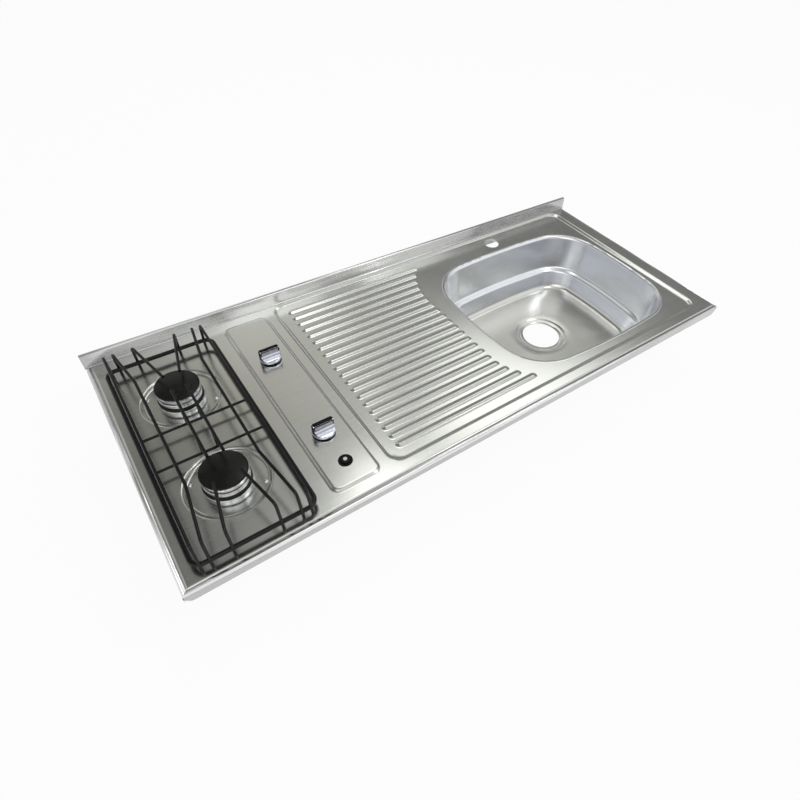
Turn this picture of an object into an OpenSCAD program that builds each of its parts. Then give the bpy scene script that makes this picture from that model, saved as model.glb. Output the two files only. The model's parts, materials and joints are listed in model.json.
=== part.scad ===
// Sink unit: a pressed steel worktop with a two-burner gas hob, a ribbed drainer and one bowl.
// Millimetres, +Z up, +X to the right, the user stands on the -Y side.
// The origin is the middle of the underside of the middle rail, the plane the worktop sits on.
// Plan positions are measured from the left end (at_x) and from the front skirt (at_y).

/* [Worktop] */
// Length of the worktop from end to end
top_length = 1200; // [1200:1:1212]
// Depth of the worktop from the front skirt to the back edge
top_depth = 520; // [520:1:526]
// Height of the skirts, from the seat plane to the top
skirt_height = 24; // [24:0.5:27]
// Thickness of the sheet steel
sheet = 0.8; // [0.7:0.1:0.9]
// Height of the upstand along the back
upstand_height = 28; // [24:1:40]

/* [Drainer and bowl] */
// Depth of the drainer tray below the top
tray_depth = 4; // [3.5:0.5:4]
// Number of ribs on the drainer
rib_count = 20; // [16:1:20]
// Height of each rib above the tray
rib_height = 2.2; // [1.8:0.1:2.4]
// Depth of the bowl below the tray
bowl_depth = 132; // [128:1:140]
// Radius of the waste hole
drain_radius = 45; // [43:0.5:46]
// Radius of the tap hole
tap_radius = 17.5; // [16:0.5:18]

/* [Hob] */
// Radius of the pressed dish round each burner
dish_radius = 64; // [63:0.5:66]
// Radius of the burner caps
cap_radius = 36.5; // [35.5:0.5:38]
// Number of flame ports in each burner
port_count = 30; // [20:2:36]
// Height of the grate rods above the top
grate_height = 53; // [50:1:56]
// Diameter of the grate rods
rod_size = 5; // [4.6:0.2:5.4]
// Diameter of the grate frame bar
bar_size = 7.5; // [7:0.5:8]

/* [Controls] */
// Radius of the round foot of the knobs
knob_radius = 20; // [19:0.5:20.5]
// Width of the knob grip
grip_width = 9; // [8:0.5:10]
// How far a knob is pushed in before it turns
push_travel = 3; // [2:0.5:3]
// Radius of the igniter button
button_radius = 8.6; // [8:0.1:8.8]
// How far the igniter button is pushed in
button_travel = 3; // [2:0.5:3]

/* [Which piece] */
// Piece to draw

/* [Hidden] */
$fn = 64;
eps = 0.01;

// Levels
top_z = skirt_height;
tray_z = top_z - tray_depth;
panel_rise = 3;
panel_z = top_z + panel_rise;
dish_depth = 5;
dish_z = top_z - dish_depth;

// Plan
left = -top_length / 2;
right = top_length / 2;
front = -top_depth / 2;
back = top_depth / 2;
function at_x(x) = x + left;
function at_y(y) = y + front;
ledge_depth = 8;
upstand_y = back - ledge_depth;
hem = 6;
front_fold = 5;
end_fold = 8;
upstand_fold = 3;
corner_notch = [9, 12];

// Tray and control panel, as middle lines of their sloping walls
tray_left = 350;
tray_right_gap = 43;
tray_front = 30.5;
tray_back_gap = 14;
tray_x = [at_x(tray_left), right - tray_right_gap];
tray_y = [at_y(tray_front), back - tray_back_gap];
tray_corner = 26;
tray_wall = 4.5;
panel_left = 243.5;
panel_right = 326;
panel_front = 30;
panel_back_gap = 35;
panel_x = [at_x(panel_left), at_x(panel_right)];
panel_y = [at_y(panel_front), back - panel_back_gap];
panel_corner = 13;
panel_wall = 2.2;

// Bowl: eight arcs, two a side and one a corner
bowl_width = 452;
bowl_right_gap = 60.5;
bowl_front_gap = 59;
bowl_back_gap = 85;
bowl_left = top_length - bowl_right_gap - bowl_width;
bowl_half = [bowl_width / 2, (top_depth - bowl_front_gap - bowl_back_gap) / 2];
bowl_centre = [at_x(bowl_left) + bowl_half[0], at_y(bowl_front_gap) + bowl_half[1]];
bowl_corner = 100;
swell_y = 5;
swell_x = 6;
bowl_det = sin(swell_y) * sin(swell_x) - (1 - cos(swell_x)) * (1 - cos(swell_y));
side_a = ((bowl_half[0] - bowl_corner) * sin(swell_x) - (bowl_half[1] - bowl_corner) * (1 - cos(swell_x))) / bowl_det;
side_b = ((bowl_half[1] - bowl_corner) * sin(swell_y) - (bowl_half[0] - bowl_corner) * (1 - cos(swell_y))) / bowl_det;
arc_a = side_a + bowl_corner;
arc_b = side_b + bowl_corner;
corner_x = side_a * sin(swell_y);
corner_y = side_b * sin(swell_x);
rim_joint = 7;
bowl_path = [
    [-rim_joint, 0], [1.2, 0], [14.2, -84], [25.5, -90.5], [41, -bowl_depth], [bowl_corner * 0.55, -bowl_depth]
];
bowl_bends = [0, 8, 7, 8, 16, 0];
bowl_steps = [6, 10];
bend_steps = 4;
drain_offset = 3;
drain_centre = [bowl_centre[0], bowl_centre[1] + drain_offset];
drain_fall = 2;
drain_step = 3.7;
drain_recess = 62;
seat_lap = 8;
tap_offset = [1.5, 37];
tap_centre = [bowl_centre[0] + tap_offset[0], bowl_centre[1] + bowl_half[1] + tap_offset[1]];

// Ribs: they end on a curve that runs round the bowl
rib_first_y = 60.5;
rib_last_gap = 43.4;
rib_pitch = (top_depth - rib_first_y - rib_last_gap) / (rib_count - 1);
rib_left = 373;
rib_bowl_gap = 38.5;
rib_right = bowl_left - rib_bowl_gap;
rib_tube = 10.7;
rib_half = sqrt(pow(rib_tube, 2) - pow(rib_tube - rib_height, 2));
rib_curve_radius = [111, 170];
rib_curve_inset = [89, 74];
rib_curve_front = [bowl_front_gap + rib_curve_inset[0], rib_curve_radius[0]];
rib_curve_back = [top_depth - bowl_back_gap - rib_curve_inset[1], rib_curve_radius[1]];
function rib_end(y) =
    y < rib_curve_front[0] ? rib_right + sagitta(rib_curve_front[1], rib_curve_front[0] - y) :
    y > rib_curve_back[0] ? rib_right + sagitta(rib_curve_back[1], y - rib_curve_back[0]) :
    rib_right;
function sagitta(r, d) = r - sqrt(r * r - d * d);

// Rails under the sheet
rail_wall = 1.2;
front_rail_y = [front + 5.2, front + 24];
rear_rail_y = [back - 22, back - 10];
end_rail_inset = [8.5, 36];
hob_rail_left = 352;
hob_rail_width = 20;
hob_rail_x = [at_x(hob_rail_left), at_x(hob_rail_left + hob_rail_width)];
middle_rail_x = [-15, 15];

// Burners
burner_left = 118;
burner_front_gap = 142;
burner_back_gap = 166.5;
burner_x = at_x(burner_left);
burner_y = [at_y(burner_front_gap), back - burner_back_gap];
dish_wall = 2.5;
base_radius = 38.5;
base_top = top_z + 8;
cup_radius = 35.5;
cup_top = top_z + 16.5;
neck_radius = 27.5;
cup_bore = 24;
cup_bottom = -12;
seat_gap = 0.1;
head_neck = 31;
head_radius = 34;
head_foot = cup_top + 1.5;
head_top = top_z + 28;
crown_wall = 5;
mix_tube = [9, 12];
cap_height = 7;
cap_dome = 3.2;
electrode_at = [[-2.3, 50], [-20, 45]];
ceramic_radius = 3.2;
ceramic_top = top_z + 19;
pin_radius = 0.9;
pin_top = top_z + 25;
screw_at = [49, -28];
screw_angle = atan2(screw_at[1], screw_at[0]);
screw_reach = norm(screw_at);
screw_radius = 2;
bracket = [128, 24, 1.5];

// Gas side
valve_left = 285;
valve_front_gap = 148;
valve_back_gap = 159.5;
valve_x = at_x(valve_left);
valve_y = [at_y(valve_front_gap), back - valve_back_gap];
support_y = [at_y(210), back - 90];
pipe_bend_x = [104, 74];
rail_z = -24;
gas_rail_radius = 7;
gas_rail_front = 112;
gas_rail_back_gap = 34;
gas_rail_y = [at_y(gas_rail_front), back - gas_rail_back_gap];
outlet_z = -9;
outlet_reach = 26;
valve_radius = 9.5;
plug_radius = 6;
plug_z = [-12, 2];
run_gap = 0.05;
valve_top = 16;
valve_cap_height = 2.5;
spindle_radius = 3;
collar_z = 13;
pipe_radius = 4;
pipe_bore = 3.2;
holder_z = -21;
holder_reach = 22;
holder_seat = 9;
inlet_back_gap = 42;
inlet_y = back - inlet_back_gap;
inlet_radius = 10.48;
inlet_end = -84;

// Knobs
knob_gap = push_travel + 0.3;
knob_bottom = panel_z + knob_gap;
knob_foot = knob_bottom + 3.7;
knob_top = panel_z + 26;
grip_fillet = 12;
grip_reach = knob_radius - 1.3;
inlay_width = grip_width - 2.4;
inlay_depth = 1.2;

// Igniter
igniter_left = 286;
igniter_front = 76;
igniter = [at_x(igniter_left), at_y(igniter_front)];
bezel_radius = 12;
bezel_top = panel_z + 1.3;
button_top = panel_z + 4.6;
housing_radius = 10.2;
housing_bottom = -16;
mark_radius = 3.4;

// Enclosure under the hob
box_floor = -40;
box_top = 14;
box_x = [left + end_rail_inset[1], hob_rail_x[0]];
box_y = [front_rail_y[1], rear_rail_y[0]];
box_screw_z = 7;
vent = [60, 5];

// Ignition leads: smooth curves through these points
lead_radius = 1.5;
lead_sides = 8;
lead_steps = 5;
lead_low = -35;
lead_drop = -28;
lead_rise = -20;
lead_foot = 6;
lead_front = [
    [igniter[0] - 3, igniter[1], housing_bottom], [igniter[0] - 3, igniter[1] + 1, lead_drop + 4],
    [igniter[0] - 18, igniter[1] + 10, lead_low + 1], [igniter[0] - 71, igniter[1] + 36, lead_low],
    [burner_x + 52, burner_y[0] + 23, lead_low], [burner_x + 12, burner_y[0] + 48, lead_drop - 4],
    [burner_x + electrode_at[0][0], burner_y[0] + electrode_at[0][1], lead_rise],
    [burner_x + electrode_at[0][0], burner_y[0] + electrode_at[0][1], lead_foot]
];
lead_rear = [
    [igniter[0] + 3, igniter[1], housing_bottom], [igniter[0] + 3, igniter[1] + 2, lead_drop + 2],
    [igniter[0] - 10, igniter[1] + 22, lead_low], [igniter[0] - 48, igniter[1] + 94, lead_low - 2],
    [burner_x + 82, burner_y[1] - 73.5, lead_low - 2], [burner_x + 37, burner_y[1] + 31.5, lead_low - 2],
    [burner_x - 6, burner_y[1] + 44.5, lead_drop - 4],
    [burner_x + electrode_at[1][0], burner_y[1] + electrode_at[1][1], lead_rise],
    [burner_x + electrode_at[1][0], burner_y[1] + electrode_at[1][1], lead_foot]
];

// Grate
grate_left = 27;
grate_right = 211;
grate_front = 20.7;
grate_back_gap = 59.2;
grate_x = burner_x - 0.5;
grate_bar_x = [at_x(grate_left), at_x(grate_right)];
grate_bar_y = [at_y(grate_front), back - grate_back_gap];
grate_bar_z = top_z + 15;
grate_corner = 16;
rod_z = top_z + grate_height;
foot_y = [grate_bar_y[0] - 3.5, grate_bar_y[1] + 7.2];
rise_y = [grate_bar_y[0] + 6.9, grate_bar_y[1] - 1];
rod_bend = 9;
rod_sides = 10;
outer_offset = 82;
inner_offset = [67.5, 54.5];
inner_y = [burner_y[0] - 14, burner_y[1] + 15.5];
finger_offset = [36, 20.5, 13.5];
finger_tip = [burner_y[0] - 32, burner_y[1] + 4.5];
wire_size = 4.6;
wire_y = [burner_y[0] + 60.8, burner_y[1] - 78.8];
centre_offset = 12;
centre_y = [burner_y[0] + 16, burner_y[1] - 31.5];

steel = [0.62, 0.62, 0.60];
zinc = [0.55, 0.56, 0.57];
enamel = [0.05, 0.05, 0.05];
alloy = [0.70, 0.70, 0.70];
brass = [0.72, 0.56, 0.28];
chrome = [0.80, 0.80, 0.83];
rubber = [0.08, 0.08, 0.08];
white = [0.90, 0.89, 0.86];

worktop();
bowl();
bowl_floor();
waste_seat();
front_rail();
rear_rail();
left_rail();
hob_rail();
middle_rail();
right_rail();
hob_box();
box_screws();
burner_base(0);  // burner_base_front
burner_base(1);  // burner_base_rear
burner_cup(0);  // burner_cup_front
burner_cup(1);  // burner_cup_rear
burner_bracket(0);  // burner_bracket_front
burner_bracket(1);  // burner_bracket_rear
dish_screws();
burner_head(0);  // burner_head_front
burner_head(1);  // burner_head_rear
burner_cap(0);  // burner_cap_front
burner_cap(1);  // burner_cap_rear
injector_holder(0);  // injector_holder_front
injector_holder(1);  // injector_holder_rear
injectors();
gas_rail();
rail_supports();
gas_inlet();
gas_pipe(0);  // gas_pipe_front
gas_pipe(1);  // gas_pipe_rear
pipe_nuts();
valve_body(0);  // valve_body_front
valve_body(1);  // valve_body_rear
valve_cap(0);  // valve_cap_front
valve_cap(1);  // valve_cap_rear
valve_plug(0);  // valve_plug_front
valve_plug(1);  // valve_plug_rear
spindle(0);  // spindle_front
spindle(1);  // spindle_rear
valve_spring(0);  // valve_spring_front
valve_spring(1);  // valve_spring_rear
knob(0);  // knob_front
knob(1);  // knob_rear
knob_inlay(0);  // knob_inlay_front
knob_inlay(1);  // knob_inlay_rear
igniter_housing();
igniter_nut();
igniter_button();
button_mark();
igniter_spring();
ignition_lead(lead_front);  // ignition_lead_front
ignition_lead(lead_rear);  // ignition_lead_rear
electrode_ceramics();
electrode_pins();
grate_frame();
grate_long_rods();
grate_fingers();
grate_wires();
grate_centre_rods();

// Shared shapes

function unit(v) = v / norm(v);
function left_of(v) = [-v[1], v[0]];
function turn(a, b) = a[0] * b[1] - a[1] * b[0];
// Distance from a corner to where its bend starts
function bend_cut(p, q, s, r) =
    r <= 0 ? 0 :
    let (c = unit(p - q) * unit(s - q)) r * sqrt((1 + c) / (1 - c));
function bend_centre(p, q, s, r) =
    let (u = unit(p - q), v = unit(s - q), c = u * v) q + unit(u + v) * r / sqrt((1 - c) / 2);

// Points of a path whose corners are rounded, moved off to one side (1 left, -1 right) in the plane
function rounded(path, bends, off, side) = [
    for (i = [0 : len(path) - 1]) each
        i == 0 ? [path[0] + left_of(unit(path[1] - path[0])) * side * off] :
        i == len(path) - 1 ? [path[i] + left_of(unit(path[i] - path[i - 1])) * side * off] :
        let (
            p = path[i - 1],
            q = path[i],
            s = path[i + 1],
            c = bend_centre(p, q, s, bends[i]),
            cut = bend_cut(p, q, s, bends[i]),
            a = unit(q + unit(p - q) * cut - c),
            b = unit(q + unit(s - q) * cut - c),
            inward = sign(turn(q - p, s - q)) == side,
            r = inward ? bends[i] - off : bends[i] + off
        )
        [for (k = [0 : bend_steps]) c + arc_ray(a, b, k / bend_steps) * r]
];
function arc_ray(a, b, t) =
    let (w = acos(a * b)) (a * sin((1 - t) * w) + b * sin(t * w)) / sin(w);

// Points of a line through space whose corners are rounded with one radius
function bent(path, r, steps) = [
    for (i = [0 : len(path) - 1]) each
        i == 0 || i == len(path) - 1 ? [path[i]] :
        let (
            p = path[i - 1],
            q = path[i],
            s = path[i + 1],
            c = bend_centre(p, q, s, r),
            cut = bend_cut(p, q, s, r),
            a = unit(q + unit(p - q) * cut - c),
            b = unit(q + unit(s - q) * cut - c)
        )
        [for (k = [0 : steps]) c + arc_ray(a, b, k / steps) * r]
];

function heading(c, i, ends) =
    i == 0 ? (len(ends[0]) == 3 ? ends[0] : unit(c[1] - c[0])) :
    i == len(c) - 1 ? (len(ends[1]) == 3 ? ends[1] : unit(c[i] - c[i - 1])) :
    unit(unit(c[i + 1] - c[i]) + unit(c[i] - c[i - 1]));
function frames(c, i, side, ends) =
    i >= len(c) ? [] :
    let (h = heading(c, i, ends), s = unit(side - h * (side * h)))
    concat([[s, cross(h, s)]], frames(c, i + 1, s, ends));
function hundredth(v) = [round(v[0] * 100) / 100, round(v[1] * 100) / 100, round(v[2] * 100) / 100];
function tube_ring(c, f, r, n) = [
    for (i = [0 : len(c) - 1], k = [0 : n - 1])
        hundredth(c[i] + r * (cos(360 * k / n) * f[i][0] + sin(360 * k / n) * f[i][1]))
];

// A round bar swept along points, or a tube when bore is not 0; ends are the end headings, or [] for square ends
module sweep(c, r, n, bore, ends) {
    f = frames(c, 0, [1, 0.02, 0.01], ends);
    m = len(c);
    outside = tube_ring(c, f, r, n);
    inside = bore > 0 ? tube_ring(c, f, bore, n) : [];
    o = m * n;
    walls = [for (i = [0 : m - 2], k = [0 : n - 1])
        [i * n + k, (i + 1) * n + k, (i + 1) * n + (k + 1) % n, i * n + (k + 1) % n]];
    liner = bore > 0 ? [for (i = [0 : m - 2], k = [0 : n - 1])
        [o + i * n + k, o + i * n + (k + 1) % n, o + (i + 1) * n + (k + 1) % n, o + (i + 1) * n + k]] : [];
    first = bore > 0 ?
        [for (k = [0 : n - 1]) [k, (k + 1) % n, o + (k + 1) % n, o + k]] : [[for (k = [0 : n - 1]) k]];
    e = (m - 1) * n;
    end = bore > 0 ?
        [for (k = [0 : n - 1]) [e + k, o + e + k, o + e + (k + 1) % n, e + (k + 1) % n]] :
        [[for (k = [0 : n - 1]) e + n - 1 - k]];
    polyhedron(concat(outside, inside), concat(walls, liner, first, end));
}

// A straight round bar between two points
module stick(a, b, r) {
    d = b - a;
    h = norm(d);
    translate(a) rotate([0, acos(d[2] / h), atan2(d[1], d[0])]) cylinder(r = r, h = h);
}

// A block with round corners and sloping walls: half-width changes by grow from z0 to z1
module sloped_block(x, y, corner, z0, z1, grow) {
    h = z1 - z0;
    for (cx = [x[0] + corner, x[1] - corner], cy = [y[0] + corner, y[1] - corner])
        translate([cx, cy, z0]) cylinder(r1 = corner - grow, r2 = corner + grow, h = h);
    translate([x[0] + corner, 0, 0]) rotate([90, 0, 90])
        linear_extrude(height = x[1] - x[0] - 2 * corner)
            polygon([[y[0] + grow, z0], [y[1] - grow, z0], [y[1] + grow, z1], [y[0] - grow, z1]]);
    translate([0, y[1] - corner, 0]) rotate([90, 0, 0])
        linear_extrude(height = y[1] - y[0] - 2 * corner)
            polygon([[x[0] + grow, z0], [x[1] - grow, z0], [x[1] + grow, z1], [x[0] - grow, z1]]);
}

module ring(r_out, r_in, z0, z1) {
    difference() {
        translate([0, 0, z0]) cylinder(r = r_out, h = z1 - z0);
        translate([0, 0, z0 - 1]) cylinder(r = r_in, h = z1 - z0 + 2);
    }
}

module post(r, z0, z1) {
    translate([0, 0, z0]) cylinder(r = r, h = z1 - z0);
}

module along_x(r, x0, x1, z) {
    translate([x0, 0, z]) rotate([0, 90, 0]) cylinder(r = r, h = x1 - x0);
}

// Worktop

module slab_form(d) {
    low = d > 0 ? -2 : 0;
    intersection() {
        translate([left - 2, 0, 0]) rotate([90, 0, 90]) linear_extrude(height = top_length + 4) union() {
            translate([front + front_fold, low]) square([top_depth - front_fold + 2 * d, top_z - d - low]);
            translate([front + d, low]) square([front_fold - d + 1, top_z - front_fold - low]);
            translate([front + front_fold, top_z - front_fold]) circle(front_fold - d);
        }
        translate([0, back + 3, 0]) rotate([90, 0, 0]) linear_extrude(height = top_depth + 6) union() {
            translate([left + end_fold, low]) square([top_length - 2 * end_fold, top_z - d - low]);
            translate([left + d, low]) square([top_length - 2 * d, top_z - end_fold - low]);
            translate([left + end_fold, top_z - end_fold]) circle(end_fold - d);
            translate([right - end_fold, top_z - end_fold]) circle(end_fold - d);
        }
    }
}

module upstand_form(d) {
    low = d > 0 ? -2 : 0;
    reach = d > 0 ? 2 : 0;
    peak = top_z + upstand_height;
    translate([left - reach, 0, 0]) rotate([90, 0, 90]) linear_extrude(height = top_length + 2 * reach)
        union() {
            translate([upstand_y + d, low]) square([ledge_depth - 2 * d, peak - upstand_fold - low]);
            translate([upstand_y + upstand_fold, low])
                square([ledge_depth - 2 * upstand_fold, peak - d - low]);
            translate([upstand_y + upstand_fold, peak - upstand_fold]) circle(upstand_fold - d);
            translate([back - upstand_fold, peak - upstand_fold]) circle(upstand_fold - d);
            if (d > 0) translate([upstand_y + upstand_fold, low]) square([ledge_depth, peak - hem - low]);
            difference() {
                translate([upstand_y - upstand_fold, top_z - 2 * d]) square([upstand_fold + d, upstand_fold + 2 * d]);
                translate([upstand_y - upstand_fold, top_z + upstand_fold]) circle(upstand_fold + d);
            }
        }
}

module panel_form() {
    w = panel_wall;
    sloped_block(
        [panel_x[0] - w, panel_x[1] + w], [panel_y[0] - w, panel_y[1] + w],
        panel_corner + w, top_z - panel_rise, panel_z, -2 * w
    );
}

module tray_form() {
    // Runs on above the top at the same slope
    steep = tray_wall / tray_depth;
    sloped_block(
        [tray_x[0] - steep, tray_x[1] + steep], [tray_y[0] - steep, tray_y[1] + steep],
        tray_corner + steep, tray_z, top_z + 2, steep * (tray_depth + 2) / 2
    );
}

module dish_form(i) {
    rise = 2 * dish_wall / dish_depth;
    translate([burner_x, burner_y[i], dish_z])
        cylinder(r1 = dish_radius - dish_wall, r2 = dish_radius + dish_wall + rise, h = dish_depth + 1);
}

module rib_form(k) {
    y = rib_first_y + rib_pitch * k;
    z = tray_z + rib_height - rib_tube;
    x0 = at_x(rib_left) + rib_half;
    x1 = at_x(rib_end(y)) - rib_half;
    low = rib_tube - rib_height;
    translate([0, at_y(y), 0]) along_x(rib_tube, x0, x1, z);
    translate([x1, at_y(y), z]) rotate([0, 90, 0]) cylinder(r1 = rib_tube, r2 = low, h = rib_half);
    translate([x0, at_y(y), z]) rotate([0, -90, 0]) cylinder(r1 = rib_tube, r2 = low, h = rib_half);
}

module top_form(d) {
    difference() {
        union() {
            slab_form(d);
            upstand_form(d);
            translate([0, 0, -d]) panel_form();
        }
        translate([0, 0, -d]) tray_form();
        for (i = [0, 1])
            translate([0, 0, -d]) dish_form(i);
    }
    for (k = [0 : rib_count - 1])
        translate([0, 0, -d]) rib_form(k);
}

module worktop() {
    color(steel) difference() {
        top_form(0);
        top_form(sheet);
        translate([0, 0, tray_z - 3]) linear_extrude(height = 7) polygon(rim_outline());
        translate(tap_centre) post(tap_radius, tray_z - 3, tray_z + 4);
        for (i = [0, 1]) {
            translate([burner_x, burner_y[i], 0]) {
                post(neck_radius + 0.5, dish_z - 3, dish_z + 3);
                translate(electrode_at[i]) post(ceramic_radius + 0.2, dish_z - 3, dish_z + 3);
                for (s = [1, -1])
                    translate(s * screw_at) post(screw_radius + 0.1, dish_z - 3, dish_z + 3);
            }
            translate([valve_x, valve_y[i], 0]) post(spindle_radius + 1, panel_z - 3, panel_z + 3);
        }
        translate(igniter) post(housing_radius + 0.1, panel_z - 3, panel_z + 3);
        for (m = [0, 1])
            mirror([m, 0, 0]) translate([left, front + 3, 0]) rotate([90, 0, 0]) linear_extrude(height = 6)
                polygon([[-1, -1], [corner_notch[0], -1], [corner_notch[0], 0], [0, corner_notch[1]], [-1, corner_notch[1]]]);
    }
}

// Bowl

// Directions in which the outline is sampled, closer together on the long sides
side_steps = bowl_steps[0];
corner_steps = bowl_steps[1];
turns = [
    for (q = [0 : 3]) each
        let (
            s = q % 2 == 0 ? swell_x : swell_y,
            e = q % 2 == 0 ? swell_y : swell_x
        )
        concat(
            [for (k = [0 : side_steps - 1]) 90 * q - s + 2 * s * k / side_steps],
            [for (k = [0 : corner_steps - 1]) 90 * q + s + (90 - s - e) * k / corner_steps]
        )
];

// A point of the outline, set in by the given distance, where it faces direction w
function outline(w, inset) =
    let (
        v = [cos(w), sin(w)],
        flip = [v[0] < 0 ? -1 : 1, v[1] < 0 ? -1 : 1],
        fold = atan2(abs(v[1]), abs(v[0])),
        p = fold <= swell_x + eps / 10 ? [bowl_half[0] - arc_b, 0] + (arc_b - inset) * [cos(fold), sin(fold)] :
            fold >= 90 - swell_y - eps / 10 ? [0, bowl_half[1] - arc_a] + (arc_a - inset) * [cos(fold), sin(fold)] :
            [corner_x, corner_y] + (bowl_corner - inset) * [cos(fold), sin(fold)]
    )
    bowl_centre + [p[0] * flip[0], p[1] * flip[1]];
function rim_outline() = [for (w = turns) flat_hundredth(outline(w, -rim_joint))];
function flat_hundredth(v) = [round(v[0] * 100) / 100, round(v[1] * 100) / 100];

function bowl_ring(p) = [
    for (w = turns) let (v = flat_hundredth(outline(w, p[0]))) hundredth([v[0], v[1], tray_z + p[1]])
];
function waste_ring(z) = [
    for (w = turns)
        let (v = unit(outline(w, bowl_corner / 2) - drain_centre))
        hundredth([drain_centre[0] + drain_recess * v[0], drain_centre[1] + drain_recess * v[1], z])
];

// The rows of the wall's two faces, from the rim down, and the row where the floor's half starts
bowl_shown = rounded(bowl_path, bowl_bends, 0, -1);
bowl_under = rounded(bowl_path, bowl_bends, sheet, -1);
bowl_split = bend_steps + 2;

module bowl_shell(rows) {
    n = len(turns);
    m = len(rows);
    points = [for (row = rows) each row];
    faces = [for (i = [0 : m - 1], k = [0 : n - 1], half = [0, 1])
        let (j = (i + 1) % m, l = (k + 1) % n)
        half == 0 ? [i * n + k, j * n + k, j * n + l] : [i * n + k, j * n + l, i * n + l]];
    color(steel) polyhedron(points, faces);
}

// Rim and upper wall, down to the shoulder
module bowl() {
    bowl_shell(concat(
        [for (k = [0 : bowl_split]) bowl_ring(bowl_shown[k])],
        [for (k = [bowl_split : -1 : 0]) bowl_ring(bowl_under[k])]
    ));
}

// Shoulder, lower wall and floor, one sheet with the upper wall
module bowl_floor() {
    waste_z = tray_z - bowl_depth - drain_fall;
    last = len(bowl_shown) - 1;
    bowl_shell(concat(
        [for (k = [bowl_split : last]) bowl_ring(bowl_shown[k])],
        [waste_ring(waste_z), waste_ring(waste_z - sheet)],
        [for (k = [last : -1 : bowl_split]) bowl_ring(bowl_under[k])]
    ));
}

// The pressed seat round the waste hole, welded under the bowl floor
module waste_seat() {
    z = tray_z - bowl_depth - drain_fall - sheet;
    step = z - drain_step + sheet;
    color(steel) translate([drain_centre[0], drain_centre[1], 0]) rotate_extrude() polygon([
        [drain_recess + seat_lap, z], [drain_recess - 0.3, z], [drain_recess - 3.5, step],
        [drain_radius, step], [drain_radius, step - sheet],
        [drain_recess - 4, step - sheet], [drain_recess - 0.7, z - sheet], [drain_recess + seat_lap, z - sheet]
    ]);
}

// Rails

module tube_x(x, y, z1) {
    difference() {
        translate([x[0], y[0], 0]) cube([x[1] - x[0], y[1] - y[0], z1]);
        translate([x[0] - 1, y[0] + rail_wall, rail_wall])
            cube([x[1] - x[0] + 2, y[1] - y[0] - 2 * rail_wall, z1 - 2 * rail_wall]);
    }
}

module tube_y(x, y, z1) {
    difference() {
        translate([x[0], y[0], 0]) cube([x[1] - x[0], y[1] - y[0], z1]);
        translate([x[0] + rail_wall, y[0] - 1, rail_wall])
            cube([x[1] - x[0] - 2 * rail_wall, y[1] - y[0] + 2, z1 - 2 * rail_wall]);
    }
}

long_rail_x = [left + end_rail_inset[0], right - end_rail_inset[0]];
cross_rail_y = [front_rail_y[1], rear_rail_y[0]];

module front_rail() {
    color(zinc) difference() {
        tube_x(long_rail_x, front_rail_y, top_z - sheet);
        box_screw_holes();
    }
}

module rear_rail() {
    color(zinc) difference() {
        tube_x(long_rail_x, rear_rail_y, tray_z - sheet);
        box_screw_holes();
    }
}

module left_rail() {
    color(zinc) difference() {
        tube_y([left + end_rail_inset[0], left + end_rail_inset[1]], cross_rail_y, top_z - sheet);
        box_screw_holes();
    }
}

module hob_rail() {
    color(zinc) difference() {
        tube_y(hob_rail_x, cross_rail_y, tray_z - sheet);
        box_screw_holes();
    }
}

module middle_rail() {
    color(zinc) tube_y(middle_rail_x, cross_rail_y, tray_z - sheet);
}

module right_rail() {
    color(zinc) tube_y([right - end_rail_inset[1], right - end_rail_inset[0]], cross_rail_y, top_z - sheet);
}

// Enclosure under the hob, held to the rails by side screws

box_middle = [(box_x[0] + box_x[1]) / 2, (box_y[0] + box_y[1]) / 2];
box_screw_list = [
    [box_x[0], box_middle[1] - 120, 180], [box_x[0], box_middle[1] + 120, 180],
    [box_x[1], box_middle[1] - 120, 0], [box_x[1], box_middle[1] + 120, 0],
    [box_middle[0], box_y[0], 270], [box_middle[0], box_y[1], 90]
];

module box_screw_holes() {
    for (s = box_screw_list)
        translate([s[0], s[1], 0]) rotate([0, 0, s[2]]) along_x(screw_radius + run_gap, -4, 4, box_screw_z);
}

module hob_box() {
    size = [box_x[1] - box_x[0], box_y[1] - box_y[0]];
    color(zinc) difference() {
        translate([box_x[0], box_y[0], box_floor]) cube([size[0], size[1], box_top - box_floor]);
        translate([box_x[0] + sheet, box_y[0] + sheet, box_floor + sheet])
            cube([size[0] - 2 * sheet, size[1] - 2 * sheet, box_top - box_floor]);
        box_screw_holes();
        translate([valve_x, inlet_y, 0]) post(inlet_radius + 1.5, box_floor - 1, box_floor + 2);
        for (i = [0, 1], k = [-2 : 2])
            translate([burner_x - vent[0] / 2, burner_y[i] + 14 * k - vent[1] / 2, box_floor - 1])
                cube([vent[0], vent[1], 3]);
    }
}

module box_screws() {
    color(zinc) for (s = box_screw_list)
        translate([s[0], s[1], 0]) rotate([0, 0, s[2]]) {
            along_x(screw_radius, -sheet - 1, 4, box_screw_z);
            along_x(3.6, -sheet - 2, -sheet, box_screw_z);
        }
}

// Burners

module at_burner(i) {
    translate([burner_x, burner_y[i], 0]) children();
}

module burner_base(i) {
    w = 2.5;
    color(enamel) at_burner(i) rotate_extrude() polygon([
        [base_radius - w, dish_z], [base_radius, dish_z], [base_radius - 0.6, base_top - 2],
        [base_radius - 2.2, base_top], [neck_radius + run_gap, base_top],
        [neck_radius + run_gap, base_top - w], [base_radius - w - 1, base_top - w]
    ]);
}

module burner_cup(i) {
    color(alloy) at_burner(i) difference() {
        union() {
            post(cup_radius, base_top, cup_top);
            post(neck_radius, cup_bottom, base_top);
        }
        post(cup_bore, cup_bottom + 5, cup_top + 1);
        post(5, cup_bottom - 1, cup_bottom + 6);
        for (a = [0, 90])
            rotate([0, 0, a + 60]) along_x(6, -neck_radius - 1, neck_radius + 1, 4);
    }
}

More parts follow.
